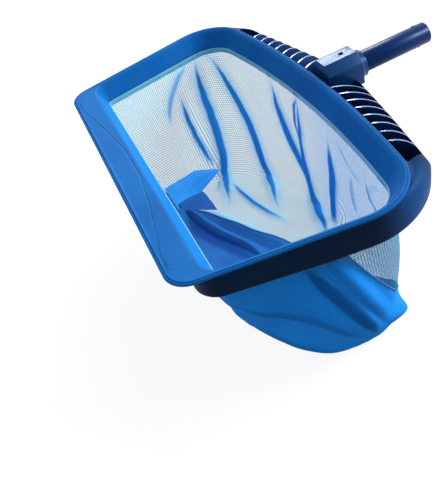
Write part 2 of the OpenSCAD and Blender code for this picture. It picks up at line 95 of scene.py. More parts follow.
def rampDown(value, edge):
    # from 1 before the edge's width to 0 at its place
    return smooth((edge[0] - value) / edge[1])


# the outline that both mouldings share, in millimetres
outline = {
    "lipWidth": 443, "backWidth": 535, "depth": 254, "bow": 28,
    "lipRadius": 29, "backRadius": 64, "backShare": 0.956,
    "lipSteps": 40, "cornerSteps": 16, "sideSteps": 36, "turnSteps": 28, "backSteps": 60,
}
sideSlope = (outline["backWidth"] - outline["lipWidth"]) / 2 / outline["depth"]
sideAngle = math.atan(sideSlope)
bowRadius = ((outline["backWidth"] / 2) ** 2 + outline["bow"] ** 2) / (2 * outline["bow"])
bowCentre = outline["depth"] + outline["bow"] - bowRadius


def sideX(y, inset):
    return outline["lipWidth"] / 2 + y * sideSlope - inset / math.cos(sideAngle)


def ridgeY(x):
    return bowCentre + math.sqrt(bowRadius ** 2 - x ** 2)


def backCorner(inset, backInset, radius):
    reach = sideX(0, inset + radius)
    bowLeft = bowRadius - backInset - radius
    p = 1 + sideSlope ** 2
    q = reach * sideSlope - bowCentre
    c = reach ** 2 + bowCentre ** 2 - bowLeft ** 2
    y = (math.sqrt(q * q - p * c) - q) / p
    return sideX(y, inset + radius), y


def closedOutline(lipInset, inset, lipRadius, backRadius, backInset=None):
    # one loop round the piece as (x, y, outward x, outward y), from the middle of the lip
    o = outline
    backInset = inset * o["backShare"] if backInset is None else backInset
    lipC = (sideX(lipInset + lipRadius, inset + lipRadius), lipInset + lipRadius)
    backC = backCorner(inset, backInset, backRadius)
    turnEnd = math.atan2(backC[1] - bowCentre, backC[0])
    half = [(lipC[0] * k / o["lipSteps"], lipInset, 0, -1) for k in range(o["lipSteps"])]

    def arc(centre, radius, fromAngle, toAngle, steps, first=0):
        for k in range(first, steps + 1):
            a = mix(fromAngle, toAngle, k / steps)
            dx, dy = math.cos(a), math.sin(a)
            half.append((centre[0] + radius * dx, centre[1] + radius * dy, dx, dy))

    arc(lipC, lipRadius, -math.pi / 2, -sideAngle, o["cornerSteps"])
    start = half[-1]
    end = (backC[0] + backRadius * math.cos(sideAngle), backC[1] - backRadius * math.sin(sideAngle))
    for k in range(1, o["sideSteps"]):
        t = k / o["sideSteps"]
        half.append((mix(start[0], end[0], t), mix(start[1], end[1], t), start[2], start[3]))
    arc(backC, backRadius, -sideAngle, turnEnd, o["turnSteps"])
    arc((0, bowCentre), bowRadius - backInset, turnEnd, math.pi / 2, o["backSteps"], 1)
    return half + [(-x, y, -dx, dy) for x, y, dx, dy in half[-2:0:-1]]


baseLoop = closedOutline(0, 0, outline["lipRadius"], outline["backRadius"])
loopSize = len(baseLoop)
turnStart = outline["lipSteps"] + outline["cornerSteps"] + outline["sideSteps"]


def alongHalf(k):
    # the point of the half outline that point k of the whole one mirrors
    return min(k, loopSize - k)


def sweptGrid(name, columns, rows, pointAt, closedRound=True, closedSection=False):
    # a grid whose columns run round the piece and whose rows follow its section
    bpy.ops.mesh.primitive_grid_add(x_subdivisions=columns, y_subdivisions=rows, size=1)
    piece = bpy.context.object
    piece.name = piece.data.name = name
    for vertex in piece.data.vertices:
        i = round((vertex.co.x + 0.5) * columns)
        j = round((vertex.co.y + 0.5) * rows)
        vertex.co = pointAt(i % columns if closedRound else i, j % rows if closedSection else j)
    return piece


def tidyMesh(piece, sharpAngle=None, merge=1e-6):
    selectOnly(piece)
    bpy.ops.object.mode_set(mode="EDIT")
    bpy.ops.mesh.select_all(action="SELECT")
    bpy.ops.mesh.remove_doubles(threshold=merge)
    bpy.ops.mesh.normals_make_consistent(inside=False)
    bpy.ops.mesh.select_all(action="DESELECT")
    bpy.ops.object.mode_set(mode="OBJECT")
    if sharpAngle is None:
        bpy.ops.object.shade_smooth()
    else:
        bpy.ops.object.shade_smooth_by_angle(angle=math.radians(sharpAngle))
    return piece


def selectOnly(piece):
    bpy.ops.object.select_all(action="DESELECT")
    piece.hide_viewport = False
    piece.select_set(True)
    bpy.context.view_layer.objects.active = piece


def applyModifier(piece, kind, **settings):
    selectOnly(piece)
    modifier = piece.modifiers.new(kind, kind)
    for key, value in settings.items():
        setattr(modifier, key, value)
    bpy.ops.object.modifier_apply(modifier=modifier.name)


def prism(name, points, bottom, top):
    # an upright block over a plan outline, in millimetres
    bpy.ops.mesh.primitive_circle_add(vertices=len(points), fill_type="NGON")
    piece = bpy.context.object
    piece.name = name
    for vertex, (x, y) in zip(piece.data.vertices, points):
        vertex.co = inFrame(x, y, bottom)
    bpy.ops.object.mode_set(mode="EDIT")
    bpy.ops.mesh.select_all(action="SELECT")
    bpy.ops.mesh.extrude_region_move(TRANSFORM_OT_translate={"value": (0, 0, (top - bottom) * mm)})
    bpy.ops.mesh.select_all(action="SELECT")
    bpy.ops.mesh.normals_make_consistent(inside=False)
    bpy.ops.object.mode_set(mode="OBJECT")
    return piece


def joinPieces(pieces):
    selectOnly(pieces[0])
    for piece in pieces:
        piece.select_set(True)
    bpy.ops.object.join()
    return bpy.context.object


def cutAway(piece, cutter):
    applyModifier(piece, "BOOLEAN", operation="DIFFERENCE", solver="EXACT", object=cutter)
    bpy.data.objects.remove(cutter)


def newGroup(name, inputs, outputs):
    # a shader group with named sockets, and its two end nodes
    group = bpy.data.node_groups.new(name, "ShaderNodeTree")
    for label, kind, value in inputs:
        socket = group.interface.new_socket(label, in_out="INPUT", socket_type=kind)
        if value is not None:
            socket.default_value = value
    for label, kind in outputs:
        group.interface.new_socket(label, in_out="OUTPUT", socket_type=kind)
    start = group.nodes.new("NodeGroupInput")
    end = group.nodes.new("NodeGroupOutput")
    return group, start, end


def mathNode(tree, operation, first, second=None, clamp=False):
    node = tree.nodes.new("ShaderNodeMath")
    node.operation = operation
    node.use_clamp = clamp
    for socket, value in zip(node.inputs, (first, second)):
        if value is None:
            continue
        if isinstance(value, (int, float)):
            socket.default_value = value
        else:
            tree.links.new(value, socket)
    return node.outputs[0]


def noiseNode(tree, vector, scale, detail=3, roughness=0.55, stretch=None):
    node = tree.nodes.new("ShaderNodeTexNoise")
    node.inputs["Scale"].default_value = scale
    node.inputs["Detail"].default_value = detail
    node.inputs["Roughness"].default_value = roughness
    if stretch is not None:
        mapping = tree.nodes.new("ShaderNodeMapping")
        mapping.inputs["Scale"].default_value = stretch
        tree.links.new(vector, mapping.inputs["Vector"])
        vector = mapping.outputs[0]
    tree.links.new(vector, node.inputs["Vector"])
    return node.outputs["Fac"]


def rangeNode(tree, value, low, high, toLow=0.0, toHigh=1.0):
    node = tree.nodes.new("ShaderNodeMapRange")
    node.interpolation_type = "SMOOTHSTEP"
    tree.links.new(value, node.inputs["Value"])
    for label, number in (("From Min", low), ("From Max", high), ("To Min", toLow), ("To Max", toHigh)):
        node.inputs[label].default_value = number
    return node.outputs[0]


def mixColours(tree, factor, first, second):
    node = tree.nodes.new("ShaderNodeMix")
    node.data_type = "RGBA"
    tree.links.new(factor, node.inputs["Factor"])
    for socket, value in zip((node.inputs["A"], node.inputs["B"]), (first, second)):
        if isinstance(value, tuple):
            socket.default_value = (*value, 1)
        else:
            tree.links.new(value, socket)
    return node.outputs["Result"]


# a moulded surface: scales per metre, and where its marks start and are full
mouldedLook = {
    "flow": 9, "grain": 2600, "scratch": 60, "scuffed": (0.66, 0.76), "worn": (0.52, 0.62), "wornTone": 0.5,
}


def buildMoulding():
    # fine grain, flow marks and small scuffs of a moulded plastic
    look = mouldedLook
    group, start, end = newGroup(
        "mouldedFinish",
        [("Vector", "NodeSocketVector", None), ("Grain", "NodeSocketFloat", 1.0),
         ("Scuffs", "NodeSocketFloat", 0.5)],
        [("Tone", "NodeSocketFloat"), ("Scuff", "NodeSocketFloat"), ("Height", "NodeSocketFloat")])
    vector = start.outputs["Vector"]
    flow = noiseNode(group, vector, look["flow"], 4, 0.6)
    grain = noiseNode(group, vector, look["grain"], 2, 0.5)
    scratch = noiseNode(group, vector, look["scratch"], 6, 0.7, (1.0, 9.0, 1.0))
    scuff = rangeNode(group, scratch, *look["scuffed"])
    scuff = mathNode(group, "MULTIPLY", scuff, start.outputs["Scuffs"])
    pointed = group.nodes.new("ShaderNodeNewGeometry").outputs["Pointiness"]
    edge = mathNode(group, "MULTIPLY", rangeNode(group, pointed, *look["worn"]), look["wornTone"])
    tone = mathNode(group, "ADD", rangeNode(group, flow, 0.3, 0.7), edge, True)
    height = mathNode(group, "SUBTRACT", mathNode(group, "MULTIPLY", grain, start.outputs["Grain"]), scuff)
    group.links.new(tone, end.inputs["Tone"])
    group.links.new(scuff, end.inputs["Scuff"])
    group.links.new(height, end.inputs["Height"])
    return group


def buildThreads():
    # crossing threads of a knitted net, on a map in metres
    group, start, end = newGroup(
        "knittedThreads",
        [("Vector", "NodeSocketVector", None), ("Pitch", "NodeSocketFloat", 0.002),
         ("Width", "NodeSocketFloat", 0.3)],
        [("Thread", "NodeSocketFloat"), ("Height", "NodeSocketFloat")])
    split = group.nodes.new("ShaderNodeSeparateXYZ")
    group.links.new(start.outputs["Vector"], split.inputs[0])
    u = mathNode(group, "DIVIDE", split.outputs[0], start.outputs["Pitch"])
    v = mathNode(group, "DIVIDE", split.outputs[1], start.outputs["Pitch"])
    halfWidth = mathNode(group, "MULTIPLY", start.outputs["Width"], 0.5)
    edges = []
    # both runs of thread lean, one less than the other
    for along, across, weight in ((u, v, 0.55), (v, u, 1.0)):
        slant = mathNode(group, "ADD", along, mathNode(group, "MULTIPLY", across, 0.12 * weight))
        fromMiddle = mathNode(group, "SUBTRACT", mathNode(group, "FRACT", slant), 0.5)
        edges.append(mathNode(group, "SUBTRACT", halfWidth, mathNode(group, "ABSOLUTE", fromMiddle)))
    nearest = mathNode(group, "MAXIMUM", edges[0], edges[1])
    group.links.new(rangeNode(group, nearest, -0.1, 0.1), end.inputs["Thread"])
    group.links.new(rangeNode(group, nearest, 0.0, 0.2), end.inputs["Height"])
    return group


mouldedFinish = buildMoulding()
knittedThreads = buildThreads()


def startMaterial(name, roughness, **constants):
    material = bpy.data.materials.new(name)
    material.use_nodes = True
    tree = material.node_tree
    shader = tree.nodes["Principled BSDF"]
    shader.inputs["Roughness"].default_value = roughness
    for label, value in constants.items():
        shader.inputs[label.replace("_", " ")].default_value = value
    return material, tree, shader


def useGroup(tree, group, **values):
    node = tree.nodes.new("ShaderNodeGroup")
    node.node_tree = group
    for label, value in values.items():
        if isinstance(value, (int, float)):
            node.inputs[label].default_value = value
        else:
            tree.links.new(value, node.inputs[label])
    return node


def bumpNormal(tree, shader, height, strength, distance):
    bump = tree.nodes.new("ShaderNodeBump")
    bump.inputs["Strength"].default_value = strength
    bump.inputs["Distance"].default_value = distance
    tree.links.new(height, bump.inputs["Height"])
    tree.links.new(bump.outputs[0], shader.inputs["Normal"])


def plastic(name, dark, light, roughness, grain=1.0, coat=0.0, gloss=0.35, strip=None):
    material, tree, shader = startMaterial(name, roughness, Coat_Weight=coat, Coat_Roughness=0.12,
                                           Specular_IOR_Level=gloss, Specular_Tint=(0.22, 0.52, 1.0, 1.0))
    where = tree.nodes.new("ShaderNodeTexCoord").outputs["Object"]
    finish = useGroup(tree, mouldedFinish, Vector=where, Grain=grain, Scuffs=0.4)
    colour = mixColours(tree, finish.outputs["Tone"], dark, light)
    if strip:
        # painted light: a lighter tone, standing for where light falls, is mixed in where the piece's
        # attribute of painted light is set
        paintedLight = tree.nodes.new("ShaderNodeAttribute")
        paintedLight.attribute_name = "paintedLight"
        colour = mixColours(tree, paintedLight.outputs["Fac"], colour, strip)
    paler = tuple(min(1, c * 1.25 + 0.02) for c in light)
    colour = mixColours(tree, mathNode(tree, "MULTIPLY", finish.outputs["Scuff"], 0.35), colour, paler)
    tree.links.new(colour, shader.inputs["Base Color"])
    rough = mathNode(tree, "ADD", mathNode(tree, "MULTIPLY", finish.outputs["Tone"], 0.05), roughness)
    rough = mathNode(tree, "ADD", rough, mathNode(tree, "MULTIPLY", finish.outputs["Scuff"], 0.15))
    tree.links.new(rough, shader.inputs["Roughness"])
    bumpNormal(tree, shader, finish.outputs["Height"], 0.12, 0.0003)
    return material


def steel(name):
    material, tree, shader = startMaterial(name, 0.3, Metallic=1.0)
    where = tree.nodes.new("ShaderNodeTexCoord").outputs["Object"]
    grain = noiseNode(tree, where, 900, 3, 0.6, (1, 0.08, 1))
    colour = mixColours(tree, grain, (0.5, 0.51, 0.53), (0.72, 0.73, 0.75))
    tree.links.new(colour, shader.inputs["Base Color"])
    tree.links.new(rangeNode(tree, grain, 0.2, 0.8, 0.22, 0.4), shader.inputs["Roughness"])
    bumpNormal(tree, shader, grain, 0.1, 0.0002)
    return material


# the two nets: pitch in metres, the threads' width as a share of it, how solid the threads and the
# gaps between them look, and the colours inside the bag, outside it and in its folds; the blue net's
# outer colours are painted lighter as painted light, and its fold colours darker as painted shade
netLook = {
    "pitch": 0.0031, "width": 0.30, "denseWidth": 0.60, "foldWidth": 0.7, "between": 0.24,
    "denseBetween": 0.965, "thread": 0.88, "denseThread": 0.99, "weaveDepth": 0.55, "cloudScale": 14,
    # how folded the net is where an effect starts, and where it is full
    "closing": (0.02, 0.62), "softFold": (0.0, 0.2), "deepFold": (0.2, 0.6), "innerFold": (0.1, 0.9),
    "outerFold": (0.05, 0.8),
    "pale": (0.11, 0.52, 0.66), "paleDeep": (0.020, 0.28, 0.80), "paleOuter": (0.03, 0.22, 0.38),
    "paleSoft": (0.04, 0.60, 0.95),
    "blue": (0.005, 0.16, 0.53), "blueLight": (0.014, 0.24, 0.65), "navy": (0.004, 0.06, 0.25),
    "outer": (0.012, 0.28, 0.90), "outerDeep": (0.003, 0.10, 0.40), "paleOuterDeep": (0.012, 0.15, 0.44),
}


def netting(name, dense):
    # the thread pattern follows the piece's map, and its folds are kept in the attribute "fold"
    look = netLook
    material, tree, shader = startMaterial(name, 0.8, Specular_IOR_Level=0.08)
    where = tree.nodes.new("ShaderNodeUVMap").outputs["UV"]
    fold = tree.nodes.new("ShaderNodeAttribute")
    fold.attribute_name = "fold"
    folded = fold.outputs["Fac"]
    wider = mathNode(tree, "MULTIPLY", folded, look["foldWidth"])
    width = mathNode(tree, "ADD", wider, look["denseWidth" if dense else "width"])
    threads = useGroup(tree, knittedThreads, Vector=where, Pitch=look["pitch"], Width=width)
    thread = mathNode(tree, "MULTIPLY", threads.outputs["Thread"], look["denseThread" if dense else "thread"])
    solid = rangeNode(tree, folded, *look["closing"], look["denseBetween" if dense else "between"], 1.0)
    alpha = mathNode(tree, "MAXIMUM", thread, solid)
    behind = tree.nodes.new("ShaderNodeNewGeometry").outputs["Backfacing"]
    if dense:
        # painted light: the outer face is painted lighter, standing for light that comes through the net from
        # behind
        weave = rangeNode(tree, threads.outputs["Thread"], 0, 1, look["weaveDepth"], 1.0)
        objectPlace = tree.nodes.new("ShaderNodeTexCoord").outputs["Object"]
        cloud = rangeNode(tree, noiseNode(tree, objectPlace, look["cloudScale"], 4, 0.6), 0.3, 0.7)
        yarn = mixColours(tree, cloud, look["blue"], look["blueLight"])
        inner = mixColours(tree, weave, look["navy"], yarn)
        # painted shade: where the net folds, the inner face is painted navy and the outer face its deep tone
        inner = mixColours(tree, rangeNode(tree, folded, *look["innerFold"]), inner, look["navy"])
        outer = mixColours(tree, weave, look["outerDeep"], look["outer"])
        outer = mixColours(tree, rangeNode(tree, folded, *look["outerFold"]), outer, look["outerDeep"])
        colour = mixColours(tree, behind, outer, inner)
    else:
        single = mixColours(tree, behind, look["paleOuter"], look["pale"])
        soft = mixColours(tree, behind, look["paleOuter"], look["paleSoft"])
        double = mixColours(tree, behind, look["paleOuterDeep"], look["paleDeep"])
        colour = mixColours(tree, rangeNode(tree, folded, *look["softFold"]), single, soft)
        colour = mixColours(tree, rangeNode(tree, folded, *look["deepFold"]), colour, double)
    tree.links.new(colour, shader.inputs["Base Color"])
    tree.links.new(alpha, shader.inputs["Alpha"])
    bumpNormal(tree, shader, threads.outputs["Height"], 0.35, 0.0003)
    return material


def tapeCloth(name, dark, light):
    material, tree, shader = startMaterial(name, 0.7, Sheen_Weight=0.2)
    where = tree.nodes.new("ShaderNodeUVMap").outputs["UV"]
    weave = tree.nodes.new("ShaderNodeTexWave")
    weave.inputs["Scale"].default_value = 260
    weave.inputs["Distortion"].default_value = 0.6
    tree.links.new(where, weave.inputs["Vector"])
    tree.links.new(mixColours(tree, weave.outputs["Fac"], dark, light), shader.inputs["Base Color"])
    bumpNormal(tree, shader, weave.outputs["Fac"], 0.5, 0.0004)
    return material


# the moulded plastics: two close tones, roughness, and what else sets each apart
plasticLooks = {
    # painted highlight: the front moulding's lit tone goes on the lip's inner sloping face
    "frontPlastic": {"dark": (0.004, 0.098, 0.36), "light": (0.007, 0.13, 0.42), "roughness": 0.5,
                     "gloss": 0.07, "strip": (0.006, 0.17, 0.50)},
    # painted shade: the rear moulding's tones are painted near black for its skirt in shade; its lit tone is
    # painted light on the wing's end panels
    "rearShadedPlastic": {"dark": (0.0005, 0.009, 0.034), "light": (0.001, 0.014, 0.046), "roughness": 0.45,
                    "gloss": 0.06, "strip": (0.004, 0.055, 0.20)},
    # painted shade: the pockets between the ribs are painted dark, standing for the shade inside them
    "pocketShadePlastic": {"dark": (0.003, 0.016, 0.075), "light": (0.005, 0.026, 0.11), "roughness": 0.6,
                      "gloss": 0.12},
    # painted highlight: the rib tops are painted pale, standing for the light caught on their rounded tops
    "ribHighlightPlastic": {"dark": (0.16, 0.24, 0.50), "light": (0.22, 0.32, 0.56), "roughness": 0.25, "coat": 0.5,
                   "gloss": 0.5},
    "hubPlastic": {"dark": (0.002, 0.026, 0.11), "light": (0.003, 0.036, 0.15), "roughness": 0.3,
                   "coat": 0.05},
    "tubePlastic": {"dark": (0.001, 0.012, 0.07), "light": (0.0015, 0.018, 0.10), "roughness": 0.3,
                    "grain": 0.5, "coat": 0.03, "gloss": 0.18},
    "darkPlastic": {"dark": (0.010, 0.014, 0.022), "light": (0.02, 0.03, 0.045), "roughness": 0.5},
}
plastics = {name: plastic(name, **look) for name, look in plasticLooks.items()}
clipSteel = steel("clipSteel")
paleNet = netting("paleNet", False)
blueNet = netting("blueNet", True)
hemTape = tapeCloth("hemTape", (0.20, 0.48, 0.70), (0.30, 0.58, 0.78))
seamTape = tapeCloth("seamTape", (0.008, 0.09, 0.38), (0.015, 0.15, 0.55))
print("materials built")


def dress(piece, material, slotName, *replaced):
    # a piece that already has its own materials comes with None
    if material:
        piece.data.materials.clear()
        piece.data.materials.append(material)
    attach(piece, "frame")
    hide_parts(*replaced)


# front moulding. Its section: distance in from the lip's edge, distance in from the side, height,
# steps to the next
frontMoulding = {
    "section": [
        (3.4, 2.6, -3.0, 2), (12, 4.6, -2.7, 4), (33, 6.6, -5.2, 3), (44, 20.5, -24.2, 1),
        (45.9, 22.4, -24.2, 1), (46.1, 22.6, -23.4, 1), (46.0, 22.5, -22.5, 1), (45.6, 22.1, -21.8, 1),
        (45.0, 21.3, -20.9, 6), (37.4, 12.0, -7.4, 2), (36.0, 10.2, -4.7, 1), (35.4, 9.2, -3.5, 1),
        (34.8, 8.4, -2.75, 1), (33.8, 7.9, -2.3, 20), (5.2, 4.5, -0.15, 2), (4.2, 3.8, 0.0, 1),
        (3.7, 3.4, -0.05, 1), (3.3, 3.05, -0.25, 1), (2.95, 2.75, -0.95, 1), (2.3, 2.1, -0.95, 1),
        (2.0, 1.8, -0.25, 1), (1.2, 1.1, -0.2, 1), (0.55, 0.55, -0.55, 1), (0.15, 0.15, -1.1, 1),
        (0, 0, -1.8, 1), (0, 0, -3.0, 2)],
    "lipCorner": 6.5, "stepCorner": 21, "stepDepth": 35, "mouthDepth": 46,
    # the engraved line on the lip, as depth against the place across
    "curve": [(0, 30), (30, 30), (85, 23), (133, 15), (170, 8), (196, 6.5), (213, 12), (226, 26)],
    "engraved": (5.2, 33.8), "halfLine": 0.55, "lineDepth": 0.6, "lineEnd": 196, "lineFade": 12,
    "stepDrop": 0.25, "lipTop": -0.15, "lipFall": 2.15, "lipLowest": -2.5, "radiusShrink": 0.95,
    # the sloping face inside the lip, painted lighter as a painted highlight where the key light falls on it;
    # each edge as its place and how wide it fades
    "slopeFront": (34.6, 1.2), "slopeBack": (47, 1.0), "slopeTop": (-2.4, 1.5), "slopeLeft": (-215, 30),
    "slopeRight": (207, 8),
}


def spreadSection(section):
    spread = []
    for k, row in enumerate(section):
        after = section[(k + 1) % len(section)]
        for j in range(row[-1]):
            spread.append(tuple(mix(a, b, j / row[-1]) for a, b in zip(row[:-1], after[:-1])))
    return spread


def curveAt(points, x):
    # the height at x of a line through the points, slightly rounded between them
    for (x0, y0), (x1, y1) in zip(points, points[1:]):
        if x <= x1:
            return mix(y0, y1, smooth((x - x0) / (x1 - x0)) * 0.4 + (x - x0) / (x1 - x0) * 0.6)
    return points[-1][1]


def buildFrontMoulding():
    f = frontMoulding
    section = spreadSection(f["section"])
    loops = []
    for lipInset, inset, height in section:
        if lipInset <= f["stepDepth"]:
            lipRadius = outline["lipRadius"] - f["radiusShrink"] * inset
        else:
            share = (lipInset - f["stepDepth"]) / (f["mouthDepth"] - f["stepDepth"])
            lipRadius = mix(f["stepCorner"], f["lipCorner"], min(1, share))
        loops.append(closedOutline(lipInset, inset, lipRadius, outline["backRadius"] - inset))

    first, last = f["engraved"][1], f["engraved"][0]
    lineRows = [j for j, row in enumerate(section) if last <= row[0] <= first and row[2] > f["lipLowest"]]
    middle = (lineRows[0] + lineRows[-1]) // 2

    def pointAt(i, j):
        x, y, _, _ = loops[j][i]
        height = section[j][2]
        line = curveAt(f["curve"], abs(x))
        onLip = alongHalf(i) < outline["lipSteps"] and lineRows[0] <= j <= lineRows[-1]
        if onLip:
            # rows gather round the line, and the middle one is sunk
            if j < middle:
                y = mix(first, line + f["halfLine"], (j - lineRows[0]) / (middle - 1 - lineRows[0]))
            elif j == middle:
                y = line
            else:
                y = mix(line - f["halfLine"], last, (j - middle - 1) / (lineRows[-1] - middle - 1))
            sink = f["lineDepth"] if j == middle else f["stepDrop"] if j > middle else 0
            height = f["lipTop"] - f["lipFall"] * (y - last) / (first - last)
            height -= smooth((f["lineEnd"] - abs(x)) / f["lineFade"]) * sink
        return inFrame(x, y, height)

    piece = sweptGrid("frontMoulding", loopSize, len(section), pointAt, closedSection=True)
    tidyMesh(piece, 42)
    # painted highlight: the lip's inner sloping face is marked to take the lit tone
    paintedLight = piece.data.attributes.new("paintedLight", "FLOAT", "POINT")
    for vertex in piece.data.vertices:
        x, y, z = bodyPlace(vertex.co)
        within = rampUp(y, f["slopeFront"]) * rampDown(y, f["slopeBack"]) * rampDown(z, f["slopeTop"])
        paintedLight.data[vertex.index].value = within * rampUp(x, f["slopeLeft"]) * rampDown(x, f["slopeRight"])
    dress(piece, plastics["frontPlastic"], "blue_moulding", "front_frame")
    print("front moulding built")


# rear moulding. Its section: share of the wing's reach, extra reach, side's stand-out, side's height,
# wing's height, steps to the next. Its lowest rows: share, extra reach, side's stand-out, lift
rearMoulding = {
    "wingSection": [
        (0, 0, 0, -3.3, -4.5, 1), (0, 3, 0.05, -5, -4.2, 3), (0.25, 1.5, 0.15, -9, -4.6, 3),
        (0.5, 0, 0.35, -12, -6.6, 3), (0.7, 0, 0.5, -15, -10.2, 3), (0.85, 0, 0.6, -18, -14.3, 3),
        (0.95, 0, 0.75, -22, -19, 3), (1, 0, 0.9, -25, -25, 3), (0.97, 0, 1.0, -32, -33, 0)],
    "lowest": [(0.985, -0.3, 1.0, 0.6), (0.975, -0.8, 0.7, 0.1), (0.96, -1.6, 0.2, 0.0),
               (0.92, -2.6, -1.0, 0.0)],
    "skirtHeight": 36, "skirtFront": 27, "skirtEven": 150, "setback": 24, "skirtRadius": 26,
    "wall": 2.2, "wallStep": 0.5, "flangeTop": -25.2, "flangeBottom": -26.8, "mouthDepth": 46,
    "flankWidth": 22.5, "mouthCorner": 6.5, "topHeight": -4.6, "evenTop": 3.3, "evenLoss": 4.5,
    "evenShare": 0.8, "heightTurn": 2.5, "cornerPower": 2.3, "underGap": 0.2, "underLift": 1.1,
    "hubReach": 46, "endReach": 28.5, "fade": 190, "fadePower": 1.5,
    "hubPad": 30, "ribs": 8, "pitch": 19.2, "ribWidth": 2.3, "ribRim": 3, "lean": math.radians(27),
    "pocketStart": 1.6, "pocketFloor": -31.5, "cutTop": 6, "rimLean": 14, "rimWall": 3.2, "cornerStep": 8,
    "hubGap": 2, "hubRim": 4,
    # the corner pocket's end: degrees round the corner, and how far out
    "cornerPocket": [(77, 4), (82, 14)], "cornerInner": 80, "cornerRim": 88,
    "seatWidth": 44.6, "seatFront": 284.7, "seatFloor": -30.3, "seatTop": 30, "seatLength": 80,
    # where the wing's end panel takes the painted light, as place and how wide it fades, back and to the side
    "edgeSoft": 0.35, "litPanelBack": (195, 60), "litPanelSide": (190, 60),
}


def wingReach(x):
    r = rearMoulding
    away = min(1, max(0, abs(x) - r["hubPad"]) / r["fade"])
    return r["endReach"] + (r["hubReach"] - r["endReach"]) * (1 - away) ** r["fadePower"]


def skirtHeightAt(y):
    r = rearMoulding
    return -r["skirtFront"] - (r["skirtHeight"] - r["skirtFront"]) * min(1, y / r["skirtEven"])


def wingShare(k):
    half = alongHalf(k)
    if half <= turnStart:
        return 0
    if half >= turnStart + outline["turnSteps"]:
        return 1
    return ((half - turnStart) / outline["turnSteps"]) ** rearMoulding["cornerPower"]


def curved(rows, t):
    # a smooth curve through the rows, for t counted in rows
    k = min(int(t), len(rows) - 2)
    t -= k
    before, here = rows[max(k - 1, 0)], rows[k]
    there, after = rows[k + 1], rows[min(k + 2, len(rows) - 1)]
    point = []
    for a, b, c, d in zip(before, here, there, after):
        bend, twist = 2 * a - 5 * b + 4 * c - d, 3 * b - a - 3 * c + d
        point.append(0.5 * (2 * b + (c - a) * t + bend * t * t + twist * t ** 3))
    return point


def ribPoint(x, out):
    return x + out * math.tan(rearMoulding["lean"]), ridgeY(x) + out


def pocketOutline(index):
    # the plan of one pocket between two ribs, counted from the hub
    r = rearMoulding
    start = r["hubPad"] + 1 + r["pitch"] * index + r["ribWidth"] / 2
    end = r["hubPad"] + 1 + r["pitch"] * (index + 1) - r["ribWidth"] / 2
    inner = r["pocketStart"]

    def rim(x):
        return wingReach(x + r["rimLean"]) - r["rimWall"]

    near = [ribPoint(start, inner)]
    if index < r["ribs"] - 1:
        far = [ribPoint(end, inner), ribPoint(end, rim(end))]
    else:
        centre = backCorner(0, 0, outline["backRadius"])
        radius = outline["backRadius"]

        def atCorner(degrees, out):
            a = math.radians(degrees)
            return centre[0] + (radius + out) * math.cos(a), centre[1] + (radius + out) * math.sin(a)

        far = [(x, ridgeY(x) + inner) for x in range(int(start) + 10, int(centre[0]) + 1, r["cornerStep"])]
        far.append(atCorner(r["cornerInner"], inner))
        far += [atCorner(degrees, out) for degrees, out in r["cornerPocket"]]
        far.append(atCorner(r["cornerRim"], rim(start)))
    return near + far + [ribPoint(start, rim(start))]


def onRibTop(x, y, normal):
    r = rearMoulding
    x = abs(x)
    if normal.z < 0.2 or x < r["hubPad"] - r["hubRim"]:
        return False
    # the place along the ridge that the rib leans away from is found in a few rounds
    furthest = 250
    out = y - ridgeY(min(x, furthest))
    for _ in range(3):
        out = y - ridgeY(min(furthest, x - out * math.tan(r["lean"])))
    along = (x - out * math.tan(r["lean"]) - r["hubPad"] - 1) / r["pitch"]
    index = round(along)
    if not 0 <= index < r["ribs"] or abs(along - index) * r["pitch"] > r["ribWidth"] / 2 + 0.1:
        return False
    return r["pocketStart"] < out < wingReach(x) - r["ribRim"]


